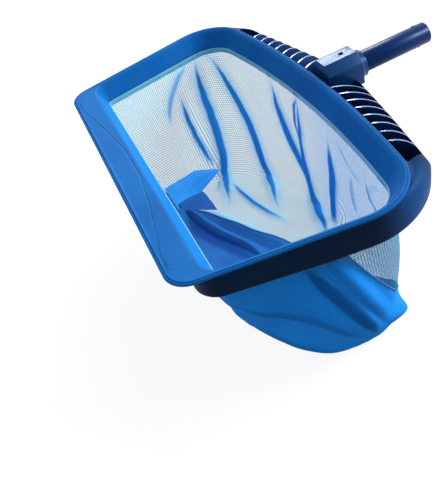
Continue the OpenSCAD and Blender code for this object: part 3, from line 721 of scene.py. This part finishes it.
def buildRearMoulding():
    r = rearMoulding
    base = closedOutline(r["setback"], 0, r["skirtRadius"], outline["backRadius"])
    reach = [wingReach(p[0]) for p in baseLoop]
    bottom = [skirtHeightAt(p[1]) for p in base]
    keyed = r["wingSection"]
    rows = [row[:-1] for row in keyed]
    outer = [curved(rows, k + j / row[-1]) for k, row in enumerate(keyed[:-1]) for j in range(row[-1])]
    lowest = r["lowest"]
    wall = r["wall"]
    skirtRadius, backRadius = r["skirtRadius"] - wall, outline["backRadius"] - wall
    wallRing = closedOutline(r["setback"] + wall, wall, skirtRadius, backRadius)
    step = wall + r["wallStep"]
    stepRing = closedOutline(r["setback"] + step, step, skirtRadius, backRadius)
    mouthRing = closedOutline(r["mouthDepth"], r["flankWidth"], r["mouthCorner"],
                              outline["backRadius"] - r["flankWidth"])
    inner = [(wallRing, r["flangeBottom"]), (mouthRing, r["flangeBottom"]), (mouthRing, r["flangeTop"]),
             (stepRing, r["flangeTop"]), (wallRing, r["topHeight"])]

    def outwards(i, sideOut, share, extra):
        u = wingShare(i)
        x, y, _, _ = base[i]
        _, _, dx, dy = baseLoop[i]
        away = (1 - u) * sideOut + u * (share * reach[i] + extra)
        return x + away * dx, y + away * dy, min(1, r["heightTurn"] * u)

    def pointAt(i, j):
        if j < len(outer):
            share, extra, sideOut, sideHeight, wingHeight = outer[j]
            x, y, v = outwards(i, sideOut, share, extra)
            # the side's rows spread evenly down to the skirt's own lower edge
            even = -r["evenTop"] - (abs(bottom[i]) - r["evenLoss"]) * (j / len(outer))
            return inFrame(x, y, mix(mix(sideHeight, even, r["evenShare"]), wingHeight, v))
        j -= len(outer)
        if j < len(lowest):
            share, extra, sideOut, lift = lowest[j]
            x, y, v = outwards(i, sideOut, share, extra)
            return inFrame(x, y, bottom[i] + lift)
        j -= len(lowest)
        if j == 0:
            # under the wings the piece is closed below its pockets
            x, y, v = outwards(i, -wall, 0, r["pocketStart"] - wall)
            return inFrame(x, y, mix(r["flangeBottom"] - r["underGap"], r["underLift"] - r["skirtHeight"], v))
        ring, height = inner[j - 1]
        return inFrame(*ring[i][:2], height)

    rowCount = len(outer) + len(lowest) + 1 + len(inner)
    piece = sweptGrid("rearMoulding", loopSize, rowCount, pointAt, closedSection=True)
    tidyMesh(piece)
    for name in ("rearShadedPlastic", "pocketShadePlastic", "ribHighlightPlastic"):
        piece.data.materials.append(plastics[name])
    cutAway(piece, pocketCutter())
    seat = r["seatWidth"] / 2
    seatEnd = r["seatFront"] + r["seatLength"]
    cutAway(piece, prism("seatCutter", [(-seat, r["seatFront"]), (seat, r["seatFront"]), (seat, seatEnd),
                                        (-seat, seatEnd)], r["seatFloor"], r["seatTop"]))
    applyModifier(piece, "BEVEL", width=r["edgeSoft"] * mm, segments=2, limit_method="ANGLE",
                  angle_limit=math.radians(55))
    tidyMesh(piece, 40, 1e-7)
    # painted highlight: the rib tops take the pale painted highlight
    for face in piece.data.polygons:
        if onRibTop(*bodyPlace(face.center)[:2], face.normal):
            face.material_index = 2
    # painted light: the wing's end panels are marked to take the lit tone, and the rest keeps the painted
    # shade
    paintedLight = piece.data.attributes.new("paintedLight", "FLOAT", "POINT")
    for vertex in piece.data.vertices:
        x, y, _ = bodyPlace(vertex.co)
        paintedLight.data[vertex.index].value = rampUp(y, r["litPanelBack"]) * rampUp(abs(x), r["litPanelSide"])
    dress(piece, None, "blue_moulding", "rear_frame")
    print("rear moulding built")


def pocketCutter():
    # all the wings' pockets as one block to cut with, whose faces take the painted pocket shade
    r = rearMoulding
    cutters = []
    for index in range(r["ribs"]):
        plan = pocketOutline(index)
        for side in (1, -1):
            mirrored = [(side * x, y) for x, y in plan]
            cutters.append(prism("pocketCutter", mirrored, r["pocketFloor"], r["cutTop"]))
    hubSide = r["seatWidth"] / 2 - r["hubGap"]
    firstRib = r["hubPad"] + 1 - r["ribWidth"] / 2
    rim = wingReach(firstRib) - r["hubRim"]
    besideHub = [(hubSide, ridgeY(hubSide) + r["pocketStart"]), ribPoint(firstRib, r["pocketStart"]),
                 ribPoint(firstRib, rim), (hubSide, ridgeY(hubSide) + rim)]
    for side in (1, -1):
        narrow = [(side * x, y) for x, y in besideHub]
        cutters.append(prism("pocketCutter", narrow, r["pocketFloor"], r["cutTop"]))
    for cutter in cutters:
        for name in ("rearShadedPlastic", "pocketShadePlastic"):
            cutter.data.materials.append(plastics[name])
        for face in cutter.data.polygons:
            face.material_index = 1
    return joinPieces(cutters)


# hub, collar and pole tube: how wide their edges are softened, in millimetres, and in how many steps
softEdges = {"hub": (0.9, 3), "hub_collar": (0.5, 2), "pole_tube": (0.35, 2)}


def softenedCopy(nodeName, pieceName, material, slotName):
    # a copy of a node of the frame, merged and with its edges softened
    width, segments = softEdges[nodeName]
    piece = nodes[nodeName].copy()
    piece.data = nodes[nodeName].data.copy()
    piece.parent = None
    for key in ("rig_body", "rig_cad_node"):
        del piece[key]
    piece.name = pieceName
    bpy.context.scene.collection.objects.link(piece)
    selectOnly(piece)
    bpy.ops.object.mode_set(mode="EDIT")
    bpy.ops.mesh.select_all(action="SELECT")
    bpy.ops.mesh.remove_doubles(threshold=1e-6)
    bpy.ops.mesh.dissolve_limited(angle_limit=math.radians(1))
    bpy.ops.object.mode_set(mode="OBJECT")
    applyModifier(piece, "BEVEL", width=width * mm, segments=segments, limit_method="ANGLE",
                  angle_limit=math.radians(30), harden_normals=False)
    selectOnly(piece)
    bpy.ops.object.shade_smooth_by_angle(angle=math.radians(32))
    dress(piece, material, slotName, nodeName)


# net bag, in millimetres from the lip's edge and the ridge
bag = {
    "lipInset": 47.3, "inset": 23.8, "lipRadius": 5, "backRadius": 40, "top": -25.2, "drop": 180,
    "footWidth": 384, "footDepth": 188, "footX": 60, "footY": 152, "slant": 0.25, "power": 0.8, "belly": 9,
    "wallRows": 96, "baseRows": 50, "footRound": 9, "clear": 0.9, "turnInset": 12, "footTurn": 16,
    "wallCurve": 0.55, "wallStraight": 0.45, "mapHeight": 0.19,
    # the seam between the panels: how far back it lies, against the place across
    "seamTop": [(-300, 30), (12, 30), (32, 62), (130, 150), (220, 159), (300, 160)],
    "seamFoot": [(-300, 40), (-128, 50), (-96, 84), (-52, 112), (2, 141), (62, 172), (150, 214), (220, 250),
                 (300, 256)],
    "seamBend": 1.2, "seamSmoothing": 14, "cordSmoothing": 6, "seamRadius": 1.1, "seamSides": 8,
    "panelWidths": (0.8, 0.6),
    # how much of its place a smoothed point keeps, and how much each neighbour gives
    "evenKeep": 0.4, "evenPull": 0.3,
    # loose waves: length along the mouth, height, drift down the wall
    "waves": [(185, 4.0, 2.2), (92, 2.2, -3.1), (47, 0.9, 4.6)], "waveFade": 1.5,
    # folds past this x, before this y and above this z stand outwards
    "outwardFolds": (150, 235, -176),
    # the back wall's net looks closer, seen along its ribs
    "closerNet": 0.17, "closerBack": (205, 40), "closerSide": (-60, 120),
    # a corner of the near side that stands out
    "tail": {"middle": (252, 206, -152), "reach": (20, 15, 9), "push": (4, 14, -2)},
}
# how a fold is drawn: the shares of its width that its soft edge, its rise and its solid middle reach
foldShape = {
    "reach": 1.7, "rise": 1.15, "middle": 0.45, "middleEdge": 1.45, "middleShare": 0.62, "edgeShare": 0.38,
    "step": 3, "smoothing": 4, "taper": 0.6, "end": 0.03, "endFade": 1.3,
}
# folds: width, height, how solid they look, and the points they run through
folds = [
    (12, 8, 0.9, [(-236, 194, -30), (-221, 188, -54), (-202, 184, -83), (-181, 181, -107), (-161, 176, -130),
                  (-144, 170, -150), (-134, 162, -169), (-97, 150, -180), (-61, 139, -180)]),
    (9, 5, 0.45, [(-229, 182, -28), (-221, 157, -43), (-212, 137, -60), (-203, 124, -75), (-190, 116, -95)]),
    (8, 5, 0.75, [(-212, 150, -66), (-204, 149, -80), (-186, 146, -105), (-169, 146, -128), (-153, 148, -148),
                 (-138, 153, -168)]),
    (11, 7, 0.85, [(-232, 212, -28), (-222, 220, -41), (-202, 224, -67), (-172, 226, -94), (-143, 225, -118),
                  (-117, 220, -143), (-92, 215, -172), (-55, 206, -180), (-3, 189, -180)]),
    (12, 7, 0.85, [(-94, 255, -38), (-91, 254, -74), (-75, 252, -99), (-55, 250, -121), (-33, 249, -137),
                  (-13, 247, -153), (6, 242, -170)]),
    (12, 7, 0.95, [(-22, 262, -34), (-27, 261, -72), (-33, 257, -106), (-25, 252, -132), (-8, 248, -155),
                 (10, 243, -180), (42, 229, -180), (63, 226, -180), (90, 212, -180)]),
    (7, 4, 0.8, [(-20, 262, -30), (-38, 261, -56), (-45, 259, -86), (-36, 257, -112), (-20, 253, -134)]),
    (20, 9, 0.75, [(42, 263, -66), (50, 262, -97), (58, 260, -119), (58, 254, -149), (62, 246, -180),
                   (80, 230, -180)]),
    (7, 4, 0.65, [(-112, 160, -180), (-72, 162, -180), (-34, 168, -180), (-9, 175, -180), (28, 188, -180)]),
    (6, 3, 0.4, [(-124, 148, -178), (-112, 144, -180), (-98, 136, -180)]),
    (9, 3, 0.4, [(92, 260, -90), (99, 259, -110), (107, 257, -124), (117, 254, -142)]),
    (16, 3, 0.25, [(196, 240, -38), (176, 247, -50), (150, 254, -84), (126, 256, -110)]),
    (14, 3, 0.3, [(70, 262, -44), (92, 260, -74), (122, 257, -92)]),
    (16, 9, 1.0, [(-112, 74, -168), (-92, 78, -180), (-43, 87, -180), (-3, 100, -180), (27, 116, -180),
                  (57, 127, -180), (80, 134, -180)]),
    (14, 6, 0.45, [(-90, 92, -180), (-20, 122, -180), (40, 150, -180), (90, 172, -180)]),
    (17, 9, 0.9, [(226, 126, -48), (232, 134, -65), (239, 142, -82), (249, 155, -104), (254, 168, -132),
                  (255, 178, -160)]),
    (12, 7, 0.5, [(196, 52, -60), (207, 64, -83), (218, 88, -102), (237, 117, -116), (250, 143, -137),
                  (254, 172, -164)]),
    (14, 6, 0.4, [(170, 60, -128), (206, 92, -150), (232, 132, -164), (247, 168, -172)]),
    (14, 6, 0.4, [(226, 140, -36), (238, 158, -70), (251, 180, -116), (254, 190, -150)]),
    (9, 5, 0.4, [(-120, 58, -60), (-90, 62, -110), (-60, 66, -150)]),
    (12, 6, 0.45, [(20, 54, -40), (60, 58, -100), (90, 60, -160)]),
    (9, 5, 0.4, [(130, 52, -40), (150, 56, -90), (140, 58, -150)]),
]
# the front panel's corner that lies folded over the lip's edge, as two small sheets
flapShape = {"steps": 24, "shoulder": 0.55, "blunt": 0.12, "lift": 3.5, "ripple": 1.5}
# each flap: the root's two ends, the shoulders, the point, and how dark it is painted; the second sheet lies
# in shade under the first and takes full painted shade
flaps = [
    ([(40, 49, -27), (86, 50, -27), (64, 78, -40), (20, 94, -37), (28, 124, -46)], 0.3),
    ([(78, 53, -27), (92, 56, -27), (105, 88, -37), (41, 87, -46), (76, 89, -42)], 1.0),
]


def bagLoop():
    # every stretch of the outline in two, so that narrow folds keep their shape
    coarse = closedOutline(bag["lipInset"], bag["inset"], bag["lipRadius"], bag["backRadius"])
    fine = []
    for k, (x, y, _, _) in enumerate(coarse):
        nextX, nextY = coarse[(k + 1) % len(coarse)][:2]
        fine += [(x, y), ((x + nextX) / 2, (y + nextY) / 2)]
    return fine


mouthLoop = bagLoop()
bagColumns = len(mouthLoop)
mouthMiddle = (0, (frontMoulding["mouthDepth"] + outline["depth"] + outline["bow"]) / 2)
alongMouth = [0]
for k in range(bagColumns):
    (ax, ay), (bx, by) = mouthLoop[k], mouthLoop[(k + 1) % bagColumns]
    alongMouth.append(alongMouth[-1] + math.hypot(ax - bx, ay - by))


def footPoint(x, y):
    # where the wall below this point of the mouth meets the foot
    b = bag
    dx = (x - mouthMiddle[0]) / (outline["backWidth"] / 2)
    dy = (y - mouthMiddle[1]) / (outline["depth"] / 2 - b["turnInset"])
    a = math.atan2(dy, dx)
    c, s = math.cos(a), math.sin(a)
    fx = b["footWidth"] / 2 * math.copysign(abs(c) ** b["power"], c)
    fy = b["footDepth"] / 2 * math.copysign(abs(s) ** b["power"], s)
    return b["footX"] + fx + b["slant"] * fy, b["footY"] + fy


def wallPoint(i, v, waved=True):
    # the bag's wall at column i, from 0 at the mouth to 1 at the foot
    b = bag
    mx, my = mouthLoop[i]
    fx, fy = footPoint(mx, my)
    s = v * v * (3 - 2 * v) * b["wallCurve"] + v * b["wallStraight"]
    px, py = mix(mx, fx, s), mix(my, fy, s)
    cx, cy = mix(mouthMiddle[0], b["footX"], s), mix(mouthMiddle[1], b["footY"], s)
    dx, dy = px - cx, py - cy
    size = math.hypot(dx, dy)
    swell = b["belly"] * math.sin(math.pi * v)
    for length, height, drift in b["waves"] if waved else ():
        turns = 2 * math.pi * round(alongMouth[-1] / length) * alongMouth[i] / alongMouth[-1]
        swell += height * math.sin(turns + drift * v) * math.sin(math.pi * v) ** b["waveFade"]
    swell = 1 + swell / size
    return cx + dx * swell, cy + dy * swell, mix(b["top"], -b["drop"] + b["clear"], v)


def bagPoint(i, j, waved=True):
    # rows go down the wall, round its lower edge and in to the middle of the foot
    b = bag
    rows = b["wallRows"]
    x, y, z = wallPoint(i, min(1, j / rows), waved)
    low = max(0, 1 - (z + b["drop"]) / b["footRound"] / 2)
    inwards = b["footRound"] * low * low
    cx, cy = b["footX"], b["footY"]
    dx, dy = x - cx, y - cy
    size = math.hypot(dx, dy)
    x, y = x - dx / size * inwards, y - dy / size * inwards
    if j > rows:
        t = (j - rows) / b["baseRows"]
        x, y = mix(x, cx, t), mix(y, cy, t)
    return Vector((x, y, z))


def evened(line, rounds):
    # a line of points, each drawn towards its neighbours
    for _ in range(rounds):
        line = [line[0]] + [line[k] * bag["evenKeep"] + (line[k - 1] + line[k + 1]) * bag["evenPull"]
                            for k in range(1, len(line) - 1)] + [line[-1]]
    return line


def traceFolds(plain):
    # the rise of the folds at each point of the bag, and how solid the net looks there
    f = foldShape
    tree = kdtree.KDTree(len(plain))
    for index, point in enumerate(plain):
        tree.insert(point, index)
    tree.balance()
    rises, solids = [0.0] * len(plain), [0.0] * len(plain)
    for width, height, strength, line in folds:
        # the fold's line lies on the net, with a point every few millimetres
        trace = []
        for a, b in zip(line, line[1:]):
            a, b = Vector(a), Vector(b)
            steps = max(2, round((b - a).length / f["step"]))
            trace += [tree.find(a.lerp(b, k / steps))[0] for k in range(steps)]
        trace = evened(trace, f["smoothing"])
        reach = width * f["reach"]
        nearest = {}
        for k, spot in enumerate(trace):
            for _, index, away in tree.find_range(spot, reach):
                if away < nearest.get(index, (reach, 0))[0]:
                    nearest[index] = (away, k)
        for index, (away, k) in nearest.items():
            taper = math.sin(math.pi * min(1 - f["end"], max(f["end"], k / len(trace)))) ** f["taper"]
            near = max(0, 1 - (away / width / f["rise"]) ** 2)
            rises[index] = max(rises[index], height * taper * near * near)
            # a solid middle with a soft edge beside it
            middle = f["middleShare"] * smooth(f["middleEdge"] - away / (width * f["middle"] * taper))
            edge = f["edgeShare"] * smooth(1 - away / reach)
            solids[index] = max(solids[index], strength * (middle + edge) * min(1, taper * f["endFade"]))
    return rises, solids


def shapeBag():
    # the points of the bag with its folds, and how solid the net looks at each
    b = bag
    rows = b["wallRows"] + b["baseRows"]
    tail = b["tail"]
    nearX, backY, footZ = b["outwardFolds"]
    grid = [(i, j) for j in range(rows + 1) for i in range(bagColumns)]
    rises, solids = traceFolds([bagPoint(i, j, False) for i, j in grid])
    points = []
    for index, (i, j) in enumerate(grid):
        point = bagPoint(i, j)
        upright = smooth((point.z + b["drop"]) / b["footTurn"])
        inwards = Vector((b["footX"] - point.x, b["footY"] - point.y, 0)).normalized() * upright
        inwards.z = 1 - upright
        if point.x > nearX and point.y < backY and point.z > footZ:
            inwards.negate()
        closer = b["closerNet"] * rampUp(point.y, b["closerBack"]) * rampUp(point.x, b["closerSide"])
        solids[index] = max(solids[index], closer)
        squares = sum(((p - q) / r) ** 2 for p, q, r in zip(point, tail["middle"], tail["reach"]))
        points.append(point + inwards * rises[index] + Vector(tail["push"]) * math.exp(-squares))
    return points, solids


def seamShare(point):
    # how far in front of the seam a point lies, in millimetres
    v = min(1, max(0, (bag["top"] - point.z) / (bag["drop"] + bag["top"])))
    atTop, atFoot = curveAt(bag["seamTop"], point.x), curveAt(bag["seamFoot"], point.x)
    return mix(atTop, atFoot, v ** bag["seamBend"]) - point.y


def settleSeam(points, blueCell, rows):
    # evens out the grid points along the seam, and says which of them lie side by side
    links = {}
    for j in range(rows):
        for i in range(bagColumns):
            right, below = (j, (i + 1) % bagColumns), (j + 1, i)
            if blueCell[j, i] != blueCell[right]:
                a, b = (j, (i + 1) % bagColumns), (j + 1, (i + 1) % bagColumns)
                links.setdefault(a, []).append(b)
                links.setdefault(b, []).append(a)
            if j + 1 < rows and blueCell[j, i] != blueCell[below]:
                a, b = (j + 1, i), (j + 1, (i + 1) % bagColumns)
                links.setdefault(a, []).append(b)
                links.setdefault(b, []).append(a)
    for _ in range(bag["seamSmoothing"]):
        moved = {}
        for spot, others in links.items():
            if len(others) == 2:
                ends = [points[j * bagColumns + i] for j, i in others]
                kept = points[spot[0] * bagColumns + spot[1]] * bag["evenKeep"]
                moved[spot] = kept + (ends[0] + ends[1]) * bag["evenPull"]
        for (j, i), point in moved.items():
            points[j * bagColumns + i] = point
    return links


def buildBag():
    # the grid's cells are shared between the two panels, on either side of the seam
    b = bag
    rows = b["wallRows"] + b["baseRows"]
    points, solids = shapeBag()
    blueCell = {}
    for j in range(rows):
        for i in range(bagColumns):
            middle = (points[j * bagColumns + i] + points[(j + 1) * bagColumns + (i + 1) % bagColumns]) / 2
            blueCell[j, i] = seamShare(middle) > 0
    links = settleSeam(points, blueCell, rows)
    buildPanel("bagMesh", paleNet, "pale_net", False, points, solids, blueCell, "bag_mesh_panel")
    buildPanel("bagFront", blueNet, "blue_net", True, points, solids, blueCell, "bag_front_panel",
               "bag_base_panel")
    buildSeam(points, links)


def buildPanel(name, material, slotName, isBlue, points, solids, blueCell, *replaced):
    b = bag
    rows = b["wallRows"] + b["baseRows"]
    piece = sweptGrid(name, bagColumns, rows, lambda i, j: inFrame(*points[j * bagColumns + i]))
    fold = piece.data.attributes.new("fold", "FLOAT", "POINT")
    layer = piece.data.uv_layers.active.data
    unwanted = []
    for face in piece.data.polygons:
        spots = [(round(layer[k].uv.x * bagColumns), round(layer[k].uv.y * rows)) for k in face.loop_indices]
        left, top = min(i for i, j in spots), min(j for i, j in spots)
        if blueCell[top, left] != isBlue:
            unwanted.append(face.index)
        for k, (i, j) in zip(face.loop_indices, spots):
            vertex = piece.data.loops[k].vertex_index
            fold.data[vertex].value = solids[j * bagColumns + i % bagColumns]
            if top >= b["wallRows"]:
                layer[k].uv = piece.data.vertices[vertex].co.xy
            else:
                layer[k].uv = (alongMouth[i] * mm, j / b["wallRows"] * b["mapHeight"])
    selectOnly(piece)
    bpy.ops.object.mode_set(mode="EDIT")
    bpy.ops.mesh.select_mode(type="FACE")
    bpy.ops.mesh.select_all(action="DESELECT")
    bpy.ops.object.mode_set(mode="OBJECT")
    for index in unwanted:
        piece.data.polygons[index].select = True
    bpy.ops.object.mode_set(mode="EDIT")
    bpy.ops.mesh.delete(type="FACE")
    bpy.ops.object.mode_set(mode="OBJECT")
    tidyMesh(piece)
    # the outer side of the net faces out of the bag
    selectOnly(piece)
    middle = inFrame(b["footX"], b["footY"], -b["drop"] / 2)
    outwards = sum((face.center - middle).dot(face.normal) for face in piece.data.polygons)
    if outwards < 0:
        piece.data.flip_normals()
    if isBlue:
        piece = joinPieces([piece] + [buildFlap(corners, dark) for corners, dark in flaps])
    dress(piece, material, slotName, *replaced)


def buildFlap(corners, dark):
    # a small sheet between a root edge, two shoulders and a point, slightly curled
    f = flapShape
    rootA, rootB, shoulderB, shoulderA, tip = (Vector(c) for c in corners)
    steps, bend = f["steps"], f["shoulder"]

    def pointAt(i, j):
        s, t = i / steps, j / steps
        root = rootA.lerp(rootB, s)
        shoulder = shoulderA.lerp(shoulderB, s)
        end = tip.lerp(shoulder, f["blunt"])
        flat = root.lerp(shoulder, t / bend) if t < bend else shoulder.lerp(end, (t - bend) / (1 - bend))
        ripple = f["ripple"] * math.sin(11 * s + 5 * t)
        lift = (f["lift"] + ripple) * math.sin(math.pi * s) * math.sin(math.pi * t)
        return inFrame(flat.x, flat.y, flat.z + lift)

    piece = sweptGrid("flap", steps, steps, pointAt, closedRound=False)
    fold = piece.data.attributes.new("fold", "FLOAT", "POINT")
    # painted shade: the sheet's fold value darkens it, fully for the sheet that lies in shade
    for item in fold.data:
        item.value = dark
    layer = piece.data.uv_layers.active.data
    for loop in piece.data.loops:
        layer[loop.index].uv = piece.data.vertices[loop.vertex_index].co.xy
    # its upper side is the one that lies inside the bag
    if sum(face.normal.z for face in piece.data.polygons) > 0:
        piece.data.flip_normals()
    return piece


def cordAlong(name, line, radius, sides):
    # a thin closed cord along a line of points that never runs the way of its upright
    upright = Vector((0.31, 0.2, 0.93))

    def pointAt(i, j):
        ahead = line[min(j + 1, len(line) - 1)] - line[max(j - 1, 0)]
        ahead.normalize()
        across = ahead.cross(upright).normalized()
        other = ahead.cross(across)
        a = 2 * math.pi * i / sides
        return inFrame(*(line[j] + (across * math.cos(a) + other * math.sin(a)) * radius))

    piece = sweptGrid(name, sides, len(line) - 1, pointAt)
    tidyMesh(piece)
    selectOnly(piece)
    bpy.ops.object.mode_set(mode="EDIT")
    bpy.ops.mesh.select_all(action="SELECT")
    bpy.ops.mesh.fill_holes(sides=0)
    bpy.ops.mesh.normals_make_consistent(inside=False)
    bpy.ops.object.mode_set(mode="OBJECT")
    return piece


def buildSeam(points, links):
    # follow the longest chain of seam points from the mouth round the foot and back to the mouth
    ends = [spot for spot, others in links.items() if len(others) == 1 or spot[0] == 0]
    best = []
    for end in ends:
        chain, seen = [end], {end}
        while True:
            onward = [o for o in links[chain[-1]] if o not in seen]
            if not onward:
                break
            chain.append(onward[0])
            seen.add(onward[0])
        best = max(best, chain, key=len)
    line = evened([points[j * bagColumns + i] for j, i in best], bag["cordSmoothing"])
    # every second point is enough, with both ends kept
    line = line[::2] + ([line[-1]] if len(line) % 2 == 0 else [])
    # the cord stays just clear of the floor
    lowest = bag["seamRadius"] - bag["drop"] + 0.1
    line = [Vector((p.x, p.y, max(p.z, lowest))) for p in line]
    piece = cordAlong("seamCord", line, bag["seamRadius"], bag["seamSides"])
    dress(piece, seamTape, "tape", "bag_seam_tapes")
    print("seam built,", len(line), "points")


# hem and bead cord, as distance in from the mouth's edge, and height
hem = {
    "flat": [(-7.0, -24.4), (0.2, -24.4), (0.9, -24.7), (1.15, -25.4), (1.15, -31.5), (0.75, -31.5),
             (0.75, -25.6), (0.4, -25.05), (-7.0, -25.05)],
    "beadInset": -9.2, "beadHeight": -23.2, "beadRadius": 1.7, "beadSides": 10,
    "mouth": (46, 22.5, 21.5), "cornerRadius": 6.5,
}


def hemRing(extra):
    # a loop that lies this much further in than the mouth's edge
    lipInset, inset, backInset = hem["mouth"]
    return closedOutline(lipInset + extra, inset + extra, max(2, hem["cornerRadius"] - extra),
                         outline["backRadius"] - inset - extra, backInset + extra)


def sweptRing(name, section, material, slotName, node):
    rings = [hemRing(extra) for extra, _ in section]

    def pointAt(i, j):
        x, y, _, _ = rings[j][i]
        return inFrame(x, y, section[j][1])

    piece = sweptGrid(name, loopSize, len(section), pointAt, closedSection=True)
    tidyMesh(piece, 40)
    dress(piece, material, slotName, node)


def buildHem():
    h = hem
    sweptRing("hemTape", h["flat"], hemTape, "tape", "hem_tape")
    turns = [2 * math.pi * k / h["beadSides"] for k in range(h["beadSides"])]
    bead = [(h["beadInset"] + h["beadRadius"] * math.cos(a), h["beadHeight"] + h["beadRadius"] * math.sin(a))
            for a in turns]
    sweptRing("beadCord", bead, seamTape, "tape", "bead_cord")
    print("hem and bead built")


def dressNodes(material, *names):
    for name in names:
        nodes[name].data.materials.clear()
        nodes[name].data.materials.append(material)


buildFrontMoulding()
buildRearMoulding()
softenedCopy("hub", "hubBlock", plastics["hubPlastic"], "blue_moulding")
softenedCopy("hub_collar", "hubCollar", plastics["hubPlastic"], "blue_moulding")
softenedCopy("pole_tube", "poleTube", plastics["tubePlastic"], "blue_tube")
print("hub, collar and tube built")
buildBag()
buildHem()
dressNodes(clipSteel, "frame_screws", "hub_screw", "saddle_screws", "holder_pin", "clip_bend",
           "clip_arm_upper", "clip_arm_lower")
dressNodes(plastics["darkPlastic"], "clip_holder", "clip_button_upper", "clip_button_lower")
print("small pieces dressed")

# studio: the camera's place and two of its axes, then the floor, the surroundings and the lamps
studio = {
    "eye": (0.63987, -0.23184, 0.59708), "right": (0.39541, 0.88408, -0.24910),
    "back": (0.76942, -0.17070, 0.61552), "lens": 52.84, "sensor": 36, "shift": (-0.02607, -0.14636),
    "farthest": 50,
    "floorSize": 6.0, "floorDrop": 0.0003, "floorShaded": 0.14, "floorGlow": 0.89, "floorBounce": 0.5,
    "surroundings": 0.33,
    # each lamp: its place, what it points at, its size and its power
    "lamps": {
        "keyLamp": ((-1.45, 0.7, 1.3), (0, 0, 0.15), 1.0, 40),
        "fillLamp": ((0.4, -1.3, 1.5), (0, 0, 0.1), 1.2, 9),
        "rimLamp": ((0.5, 1.6, 0.8), (0.1, 0, 0.14), 0.7, 40),
    },
}


def buildCamera():
    s = studio
    camera = bpy.data.objects.new("camera", bpy.data.cameras.new("camera"))
    bpy.context.scene.collection.objects.link(camera)
    back = Vector(s["back"]).normalized()
    right = Vector(s["right"])
    right = (right - back * right.dot(back)).normalized()
    up = back.cross(right)
    turned = Matrix((right, up, back)).transposed().to_4x4()
    camera.matrix_world = Matrix.Translation(Vector(s["eye"])) @ turned
    camera.data.sensor_fit = "HORIZONTAL"
    camera.data.sensor_width = s["sensor"]
    camera.data.lens = s["lens"]
    camera.data.shift_x, camera.data.shift_y = s["shift"]
    camera.data.clip_end = s["farthest"]
    bpy.context.scene.camera = camera


def addLamp(name, spot, target, size, power):
    lamp = bpy.data.objects.new(name, bpy.data.lights.new(name, "AREA"))
    bpy.context.scene.collection.objects.link(lamp)
    lamp.data.shape = "DISK"
    lamp.data.size = size
    lamp.data.energy = power
    lamp.location = spot
    lamp.rotation_euler = (Vector(target) - Vector(spot)).to_track_quat("-Z", "Y").to_euler()


def sightRays(tree):
    # 1 for what is seen, straight or in a reflection, and 0 for the light that falls on the piece
    rays = tree.nodes.new("ShaderNodeLightPath")
    bounced = mathNode(tree, "MAXIMUM", rays.outputs["Is Glossy Ray"], rays.outputs["Is Transmission Ray"])
    return mathNode(tree, "MAXIMUM", rays.outputs["Is Camera Ray"], bounced)


def greyDiffuse(tree, grey):
    shader = tree.nodes.new("ShaderNodeBsdfDiffuse")
    shader.inputs["Color"].default_value = (grey, grey, grey, 1)
    return shader.outputs[0]


def mixShaders(tree, factor, first, second):
    node = tree.nodes.new("ShaderNodeMixShader")
    for socket, value in zip(node.inputs, (factor, first, second)):
        tree.links.new(value, socket)
    return node.outputs[0]


def buildFloor():
    # white where it is seen, apart from the object's shadow, and grey in the light it gives back
    s = studio
    bpy.ops.mesh.primitive_plane_add(size=s["floorSize"], location=(0, 0, -s["floorDrop"]))
    floor = bpy.context.object
    floor.name = "studioFloor"
    material = bpy.data.materials.new("studioFloor")
    material.use_nodes = True
    tree = material.node_tree
    tree.nodes.clear()
    out = tree.nodes.new("ShaderNodeOutputMaterial")
    glow = tree.nodes.new("ShaderNodeEmission")
    glow.inputs["Strength"].default_value = s["floorGlow"]
    seen = tree.nodes.new("ShaderNodeAddShader")
    tree.links.new(greyDiffuse(tree, s["floorShaded"]), seen.inputs[0])
    tree.links.new(glow.outputs[0], seen.inputs[1])
    upper = mixShaders(tree, sightRays(tree), greyDiffuse(tree, s["floorBounce"]), seen.outputs[0])
    # seen from below, the floor lets the object show
    below = tree.nodes.new("ShaderNodeNewGeometry").outputs["Backfacing"]
    clear = tree.nodes.new("ShaderNodeBsdfTransparent").outputs[0]
    tree.links.new(mixShaders(tree, below, upper, clear), out.inputs["Surface"])
    floor.data.materials.append(material)


def buildWorld():
    world = bpy.data.worlds.new("studioWorld")
    bpy.context.scene.world = world
    world.use_nodes = True
    tree = world.node_tree
    tree.nodes.clear()
    out = tree.nodes.new("ShaderNodeOutputWorld")
    light = tree.nodes.new("ShaderNodeBackground")
    light.inputs["Strength"].default_value = studio["surroundings"]
    sight = tree.nodes.new("ShaderNodeBackground")
    sight.inputs["Color"].default_value = (1, 1, 1, 1)
    choice = mixShaders(tree, sightRays(tree), light.outputs[0], sight.outputs[0])
    tree.links.new(choice, out.inputs["Surface"])


buildCamera()
buildFloor()
buildWorld()
for lampName, lampSettings in studio["lamps"].items():
    addLamp(lampName, *lampSettings)
bpy.context.scene.view_settings.view_transform = "Standard"
print("studio built")
